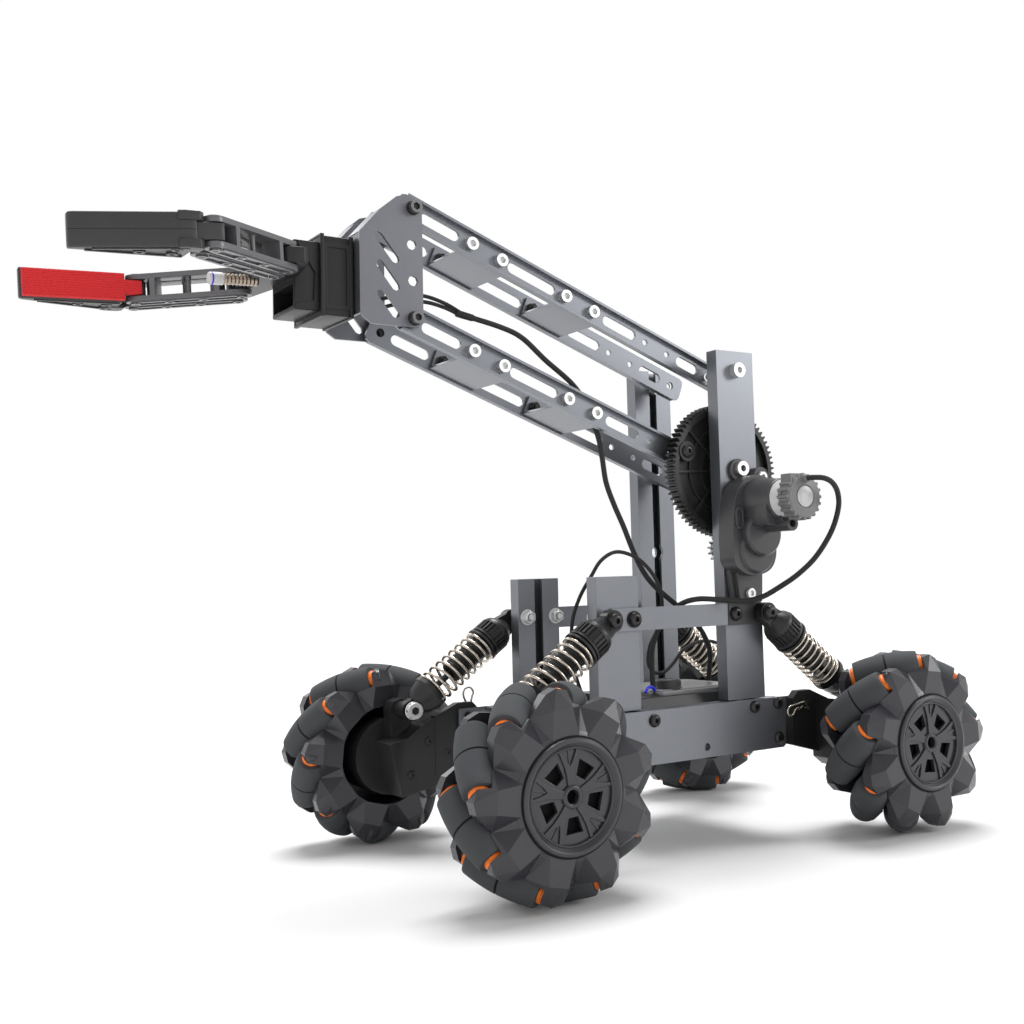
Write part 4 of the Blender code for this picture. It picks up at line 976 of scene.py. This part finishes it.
def make_arm():
    for level, body in (("upper", "arm_upper"), ("lower", "arm_lower")):
        height = UPPER_PIVOT.z if level == "upper" else LOWER_PIVOT.z
        for side_word, side in SIDES:
            redrawn(f"arm_bar_{level}_{side_word}", bar_shape(height, side), "anodised_gunmetal", 0.25)
        for place in ("front", "rear"):
            refined(f"cross_plate_{level}_{place}", "anodised_gunmetal", 0.25)
        nuts, screws = bar_fasteners(height)
        add(f"bar_nuts_{level}", nuts, "black_oxide_steel", body, 0.12)
        add(f"bar_screws_{level}", screws, "bright_steel", body, 0.45)
    add("drive_gear_look", drive_gear(), "black_plastic", "arm_lower", 0.15, ("arm_gear",))
    bolt = LOWER_PIVOT + ARM_DIRECTION * GEAR_BOLT_REACH
    gear_bolt = [facing(washer(5.6, 1.9, 0.5), bolt.x, 31.3, bolt.z),
                 facing(button_screw(3.7, 1.7, 1.5), bolt.x, 31.8, bolt.z),
                 facing(rod(1.9, 18, 32), bolt.x, 0, bolt.z)]
    add("gear_bolt", joined(*gear_bolt), "black_oxide_steel", "arm_lower")
    refined("arm_pinion", "dark_nickel", 0.15)


def on_motor(bm):
    """A shape drawn along the motor's axis, put there."""
    return facing(bm, MOTOR_X, 0, MOTOR_Z)


def gearbox_case():
    """Teardrop case with its two round lobes, foot, ear and the motor's square-bottomed barrel."""
    low = POST_FACE_Y + 0.6
    outline = [(-31, 146), (-29.6, 154), (-29.6, 164), (-31.4, 180), (-35.5, 189), (-42, 194), (-50, 195.4),
               (-58, 192.5), (-61.6, 185), (-61.6, 175), (-60.4, 165), (-60.4, 152), (-57, 144.5),
               (-50, 141), (-40, 140.6)]
    case = plate(rounded_outline(outline), [], low, 56, "Y")
    foot = plate([(-54, 126), (-38, 126), (-36, 145), (-55, 145)], [], low, 50, "Y")
    rib = plate([(-38, 127), (-35.4, 127), (-33.4, 146), (-36, 146)], [], low, 47, "Y")
    ear = joined(plate(circle(-58, 195, 5.6, 32), [], low, 48.5, "Y"),
                 plate([(-61, 186), (-48, 192), (-54, 199), (-63.4, 194)], [], low, 47.6, "Y"),
                 plate(circle(LOWER_PIVOT.x + 1.2, LOWER_PIVOT.z - 0.8, 6.3, 40), [], POST_FACE_Y,
                       low + 1.4, "Y"))
    upper = lathe([(0, 50), (12.4, 50), (12.4, 60.6), (11.2, 62), (0, 62)], 56)
    lower = lathe([(0, 50), (12.4, 50), (12.4, 56.2), (11, 57.8), (0, 57.8)], 56)
    lobes = [facing(upper, -47.5, 0, 163), facing(lower, -46, 0, 153.4)]
    barrel = on_motor(lathe([(0, 54), (12.6, 54), (12, 62), (11, 75), (10.4, 75.8), (0, 75.8)], 56))
    under = plate([(MOTOR_X - 8.5, 167), (MOTOR_X + 9.5, 167), (MOTOR_X + 11, 171), (MOTOR_X + 11, 182),
                   (MOTOR_X - 10.5, 182), (MOTOR_X - 10.5, 170)], [], 54, 73.6, "Y")
    lug, bore = (facing(shape, -49.6, 0, 167.4) for shape in (rod(4, 54, 81.6, 28), rod(2, 75.6, 84, 20)))
    lug = cut(lug, bore)
    neck = plate([(-53, 167.4), (-46.2, 167.4), (-44, 173), (-54.5, 173)], [], 56, 78.2, "Y")
    rim, hollow = ([(x, z + SLOT_Z) for z, x in obround(-half, half, SLOT_X, radius)] for half,
                   radius in ((6.2, 2.9), (4.6, 1.4)))
    slot_frame = plate(rim, [hollow], 55.6, 57.3, "Y")
    return joined(case, foot, rib, ear, *lobes, barrel, under, lug, neck, slot_frame)


def motor_cap():
    """Toothed end cap, with the squared terminal housing on its shoulder; drawn along local Z."""
    shell = knurled(11.3, 1.2, 20, 83.8, 92)
    face = lathe([(0, 83.6), (10.9, 83.6), (11.4, 84), (11.4, 91.6), (10.8, 92.4), (6.4, 92.8), (6, 92.2),
                  (0, 92.2)], 56)
    vents = [moved(box(-1, 1, 10.8, 12, 84.2, 86.6), Matrix.Rotation(math.radians(a), 4, "Z"))
             for a in range(20, 350, 30)]
    terminal = plate([(-9, -12.2), (2.5, -12.2), (2.5, -8.6), (0, -5.5), (-9, -5.5)], [], 83.8, 91.6)
    terminal = moved(terminal, Matrix.Scale(-1, 4, Vector((1, 0, 0))))
    boot = lathe([(0, 88), (2.5, 88), (2.5, 92.4), (2, 95.4), (0, 95.4)], 24)
    return joined(shell, face, terminal, shifted(boot, (0, -9.5, 0)), *vents)


def make_gearbox():
    """Teardrop reduction gearbox, its screws, and the motor with the toothed end cap."""
    redrawn("arm_gearbox", gearbox_case(), "case_plastic", 0.6)
    screws = [facing(cap_screw(2.9, 1.9, 1.5), *place) for place in ((-58, 48.5, 195), (-45, 50, 130.6))]
    add("gearbox_screws", joined(*screws), "bright_steel", "chassis", 0.35)
    collar = lathe([(0, 75.6), (9.9, 75.6), (10.3, 76), (10.3, 83.8), (0, 83.8)], 56)
    add("motor_collar", on_motor(collar), "white_plastic", "chassis", 0)
    redrawn("arm_motor", on_motor(motor_cap()), "motor_plastic", 0.3)
    disc = lathe([(0, 92), (5.6, 92), (5.6, 92.7), (5.1, 93), (0, 93)], 40)
    add("motor_end_disc", on_motor(disc), "brushed_disc", "chassis")


# ---------------------------------------------------------------- gripper
def grip_frame():
    return Matrix.Translation(GRIP_ORIGIN) @ Matrix.Rotation(-GRIP_PITCH, 4, "Y")


def make_bracket():
    refined("gripper_bracket", "dark_anodised", 0.35)
    washers, bolts = [], []
    for side in (1, -1):
        for height in (FRONT_PIVOT.z, FRONT_PIVOT.z + PIVOT_RISE):
            washers.append(facing(washer(3.6, 1.7, 0.7), FRONT_PIVOT.x, side * 23, height, side))
            washers.append(facing(rod(1.9, 0.5, 2.2), FRONT_PIVOT.x, side * 23.7, height, side))
            bolts.append(facing(cap_screw(3.1, 3.6, 1.9), FRONT_PIVOT.x, side * 23.7, height, side))
    add("bracket_washers", joined(*washers), "black_oxide_steel", "gripper", 0.2)
    add("bracket_bolts", joined(*bolts), "dark_nickel", "gripper", 0.5)


def housing_shape():
    """Stepped drive housing, hollow below, with a rib frame on each side and the links' root lugs."""
    rear = softened(box(169.5, 186.3, -17, 17, 269.5, 308), 0.9)
    front = softened(box(185.8, 198.4, -14.5, 14.5, 271.4, 305), 0.7)
    front = cut(front, box(188, 200, -12.8, 12.8, 273.4, 284))
    parts = [rear, front]
    for side in (1, -1):
        outer = [(171.5, 272.6), (184.8, 272.6), (184.8, 304.6), (171.5, 304.6)]
        inner = [(173.4, 274.8), (183, 274.8), (183, 302.4), (173.4, 302.4)]
        parts.append(sided(plate(outer, [inner], 16.8, 17.5, "Y"), side))
        gusset = [(186, 304.4), (196.6, 304.4), (196.6, 302.6), (188, 289.4), (186, 289.4)]
        parts.append(sided(plate(gusset, [], 14.3, 15.4, "Y"), side))
        low_gusset = [(186, 272), (198, 272), (198, 274), (189, 276.4), (188.4, 289.4), (186, 289.4)]
        parts.append(sided(plate(low_gusset, [], 14.3, 15.2, "Y"), side))
    for x in (184.6, 170):
        lip = plate([(-17.7, 268.8), (17.7, 268.8), (17.7, 308.7), (-17.7, 308.7)],
                    [[(-16.4, 270.1), (16.4, 270.1), (16.4, 307.4), (-16.4, 307.4)]], x, x + 1.9, "X")
        parts.append(softened(lip, 0.35))
    root = [(-13, -14), (-8, -39), (-6, -40.4), (2, -40.4), (4, -39), (7, -20), (7, 20), (4, 39), (2, 40.4),
            (-6, 40.4), (-8, 39), (-13, 14)]
    lug = [softened(plate(root, [], -3.7, 3.7), 0.5)]
    for side in (1, -1):
        for u, v in LINK_ROOTS.values():
            lug.append(shifted(rod(1.5, -7.2, 7.2, 20), (u, v * side, 0)))
            lug.append(shifted(rod(3.2, -3.95, 3.95, 24), (u, v * side, 0)))
    return joined(*parts, moved(joined(*lug), grip_frame()))


def make_housing():
    redrawn("gripper_housing", housing_shape(), "housing_plastic", 0.2)
    rotate = Matrix.Translation((0, 0, -4)) @ Matrix.Rotation(math.pi / 2, 4, "Y")
    ridges = [(2.3 + 0.5 * (i % 2), 2 + i * 0.9) for i in range(19)]
    sleeve = [(0, 18.4), (2.8, 18.4), (3, 18.8), (3, 24.4), (2.7, 25), (0, 25)]
    for name, shape, look in (("drive_sleeve", lathe(sleeve, 40), "white_plastic"),
                              ("drive_band", ring(3.12, 2.7, 23.3, 24), "blue_tie"),
                              ("drive_screw", lathe([(0, 2), *ridges, (0, 18.3)], 32), "brass")):
        add(name, moved(moved(shape, rotate), grip_frame()), look, "gripper")


def link_body():
    """Finger link: forked bar, open in the middle round a post, with ribs and bosses below."""
    length = math.hypot(*LINK_VECTOR)
    body = plate(obround(-4.6, length + 4.6, 0, 4.6), [], -6.6, 6.6)
    openings = joined(box(-6, 9.5, -6, 6, -4.1, 4.1), box(length - 8.5, length + 6, -6, 6, -4.1, 4.1))
    body = softened(cut(body, openings, box(12, length - 11, -6, 6, -4.3, 4.3)), 0.4)
    parts = [body, shifted(lathe([(1.7, -4.6), (1.2, -3), (1.2, 3), (1.7, 4.6)], 20), (length * 0.5, 0, 0))]
    for v in (-2.7, 2.7):
        parts.append(plate(obround(1.5, length - 1.5, v, 0.75, 6), [], -7.3, -6.4))
    for u in (0, length * 0.36, length * 0.68, length):
        parts.append(shifted(ring(2.5, 1.2, -7.6, -6.4, 24), (u, 0, 0)))
    for u in (0, length):
        parts.append(shifted(lathe([(0, 6.2), (3, 6.2), (3, 7), (2.6, 7.3), (1.5, 7.3), (1.2, 6.9),
                                    (0, 6.9)], 24), (u, 0, 0)))
    return joined(*parts)


def jaw_body():
    """Wedge jaw in two halves with a seam, a stepped heel, ribs and bosses below."""
    outline = [(50.6, 49), (JAW_TIP, 49), (JAW_TIP, 52), (JAW_TIP - 0.5, 53), (JAW_TIP - 1.6, 53.8),
               (57.2, 66.9), (55, 68), (53, 68.3), (50, 68.2)]

    def on_seam(place):
        return abs(place.z) < 1

    halves = [softened(plate(outline, [], low, high), 0.9, on_seam) for low,
              high in ((0.08, 7.3), (-7.3, -0.08))]
    core = plate([(52, 49.3), (JAW_TIP - 0.6, 49.3), (JAW_TIP - 0.6, 52.6), (56.8, 66.6), (52, 67.6)], [],
                 -0.4, 0.4)
    heel_block = [(47.4, 60), (56.8, 60), (57.6, 67.6), (55, 68.9), (49, 69), (47, 67)]
    blocks = [softened(plate(heel_block, [], low, low + 3.9), 0.5) for low in (3.8, -7.7)]
    q1, q2 = ((u + LINK_VECTOR[0], v + LINK_VECTOR[1]) for u, v in LINK_ROOTS.values())
    heel = softened(plate([(q1[0] - 4, q1[1] - 3), (q2[0] - 4, q2[1] - 3.2), (53, 49.6), (53, 67),
                           (q1[0] - 1, q1[1] + 4.4), (q1[0] - 3, q1[1] + 4)], [], -3.7, 3.7), 0.5)
    ribs = [plate([(52, 50.4), (90, 50.4), (90, 51.6), (52, 51.6)], [], -7.9, -7.1),
            plate([(52.6, 65.4), (54, 66.2), (88, 54.4), (87.4, 53.2)], [], -7.9, -7.1)]
    bosses = [shifted(ring(2.4, 1.1, -8.1, -7.1, 24), (u, v, 0))
              for u, v in ((57, 55), (57, 62.5), (70, 55))]
    pins = [shifted(rod(1.4, -7.5, 7.5, 20), (u, v, 0)) for u, v in (q1, q2)]
    return joined(*halves, core, heel, *blocks, *ribs, *bosses, *pins)


def pad_body():
    """Rubber pad with rounded lengthwise ribs and a narrow tab at its root."""
    ribs = []
    count, half = 11, 6.5
    step = 2 * half / count
    for i in range(count):
        low = -half + i * step
        for k in range(6):
            t = k / 5
            ribs.append((PAD_FACE + 0.28 - 0.3 * math.sin(math.pi * t) ** 0.7,
                         low + step * (0.06 + 0.88 * t)))
    main = plate([(49.1, -half), *ribs, (49.1, half)], [], 50.4, JAW_TIP - 1, "X")
    tab_ribs = [(v, z) for v, z in ribs if abs(z) <= 3.4]
    tab = plate([(48.9, -3.6), *tab_ribs, (48.9, 3.6)], [], 42.5, 50.6, "X")
    return joined(main, tab)


def make_gripper():
    for side_word, side in SIDES:
        def placed(bm):
            return moved(sided(bm, side), grip_frame())

        for which, root in LINK_ROOTS.items():
            turn = Matrix.Rotation(math.atan2(LINK_VECTOR[1], LINK_VECTOR[0]), 4, "Z")
            link = moved(link_body(), Matrix.Translation((*root, 0)) @ turn)
            redrawn(f"link_{which}_{side_word}", placed(link), "link_plastic", 0)
        redrawn(f"jaw_{side_word}", placed(jaw_body()), "jaw_plastic", 0)
        redrawn(f"pad_{side_word}", placed(pad_body()), "red_rubber", 0.2)


# ---------------------------------------------------------------- cables
CABLE_RADIUS = 1.45
LEAD_RADIUS = 1
SLEEVE_POINT = 5
ARM_CABLE = ((167.1, 6, 278), (157, 6, 279), (141, 6, 283.5), (127.6, 6, 285.5), (115.8, 7, 283),
             (106.1, 8, 278.5), (84.9, 9, 274.1), (72, 9.5, 269.3), (58, 9.5, 258.6), (41.2, 9.5, 246.7),
             (33.1, 10.5, 235.5), (27.5, 12.5, 219.1), (25.3, 13, 207), (23.9, 14, 193.5), (20, 15, 181.7),
             (14.8, 16.5, 168.9), (9.8, 18, 155.2), (5, 20, 144.2), (-0.1, 22, 136.8), (-6.7, 25, 130),
             (-13, 26, 125), (-21.7, 25, 119), (-31, 22, 112.2), (-41, 16, 104), (-48, 10, 96.7),
             (-50.5, 6, 89), (-51, 4, 80.9))
MOTOR_CABLE = ((-49, 93.4, 190.5), (-49.6, 98.5, 190.5), (-54, 102, 190), (-60, 102, 187.6),
               (-66, 99.5, 182.5), (-69.4, 96, 174.5), (-69.4, 90, 162.5), (-64.2, 83, 149.5),
               (-57.5, 76, 140.5), (-50.5, 69, 134), (-43.5, 61.5, 128.6), (-36, 54.5, 126.8),
               (-25.2, 48.5, 127.8), (-14, 43.5, 128.6), (-6.2, 39, 126.5), (-2.2, 33.5, 121),
               (1.3, 27, 112.6), (2.6, 23, 102.9), (1.5, 20.5, 93), (0.8, 20, 80.9))
WHEEL_CABLE = ((18.4, 27, 60), (27, 27, 61.5), (38, 27.5, 67), (49, 28, 77), (55.5, 28.5, 90),
               (58.4, 29, 105), (57.6, 29, 120), (53, 29.5, 132), (46.1, 30, 142.3), (40.1, 30, 150),
               (32.1, 29.5, 154.4), (24.4, 29, 154.6), (15.6, 29, 151.5), (9.1, 29, 146.7),
               (3.8, 29, 140.5), (0, 28.5, 133), (-2, 26.5, 123.5), (-3.5, 20, 113), (-2.8, 13.5, 103.5),
               (-4.5, 9, 94), (-10.5, 5.5, 88.3), (-18.3, 4, 87.4), (-26.5, 2.5, 91.6), (-35.7, 1, 99),
               (-48.9, -1, 102.7), (-61.4, -1, 101.6), (-71, 1, 95), (-75.5, 4, 84), (-73.5, 6, 71),
               (-66.5, 7, 63.5), (-60.4, 7, 62))


def cord_piece(name, points, radius, count, body, stands_for):
    """A round cord along a smooth route; returns the piece, its path in metres and its length."""
    route = smooth_route(points, count)
    piece = add(name, swept(route, radius, 14), "cable_skin", body, 0, stands_for)
    path = [DRAWING_TO_ROW @ p for p in route]
    length = sum((b - a).length for a, b in zip(path, path[1:]))
    return piece, path, length


def make_cables():
    """Arm cable to its sleeve, two leads from there to the gripper, motor cable and wheel cable."""
    sleeve_at = Vector(ARM_CABLE[SLEEVE_POINT])
    route = [Vector(p) for p in ARM_CABLE[:SLEEVE_POINT - 1:-1]]
    main, path, length = cord_piece("arm_cable_look", route, CABLE_RADIUS, 240, None, ("arm_cable",))
    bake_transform(main)
    near, far = path[-1], path[-6]
    along = (near - far).normalized()
    sleeve = lathe([(0, -6), (1.6, -6), (1.8, -5.2), (1.9, 3), (1.7, 4), (0, 4)], 24)
    turn = along.to_track_quat("Z", "Y").to_matrix().to_4x4()
    sleeve_piece = add("arm_cable_sleeve", moved(sleeve, Matrix.Translation(sleeve_at) @ turn),
                       "cable_skin", "arm_lower", 0.2)
    for word, shift in (("upper", 1), ("lower", -1)):
        points = []
        for i, p in enumerate(ARM_CABLE[:SLEEVE_POINT + 1]):
            apart = (1 - i / SLEEVE_POINT) * 4 + 1.25
            points.append(Vector(p) + Vector((0, -apart * 0.4, apart * 0.55 * shift)))
        strand, path, length = cord_piece(f"arm_cable_strand_{word}", points[::-1], LEAD_RADIUS, 80, None,
                                          ("arm_cable",))
        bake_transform(strand)
    for name, points, radius in (("motor_cable", MOTOR_CABLE, CABLE_RADIUS),
                                 ("wheel_cable", WHEEL_CABLE, LEAD_RADIUS)):
        piece, path, length = cord_piece(name + "_look", [Vector(p) for p in points], radius, 260,
                                         "chassis", (name,))


# ---------------------------------------------------------------- build
make_camera()
make_studio()
make_cables()
make_wheels()
make_suspension()
make_chassis()
make_battery_box()
make_arm()
make_gearbox()
make_bracket()
make_housing()
make_gripper()
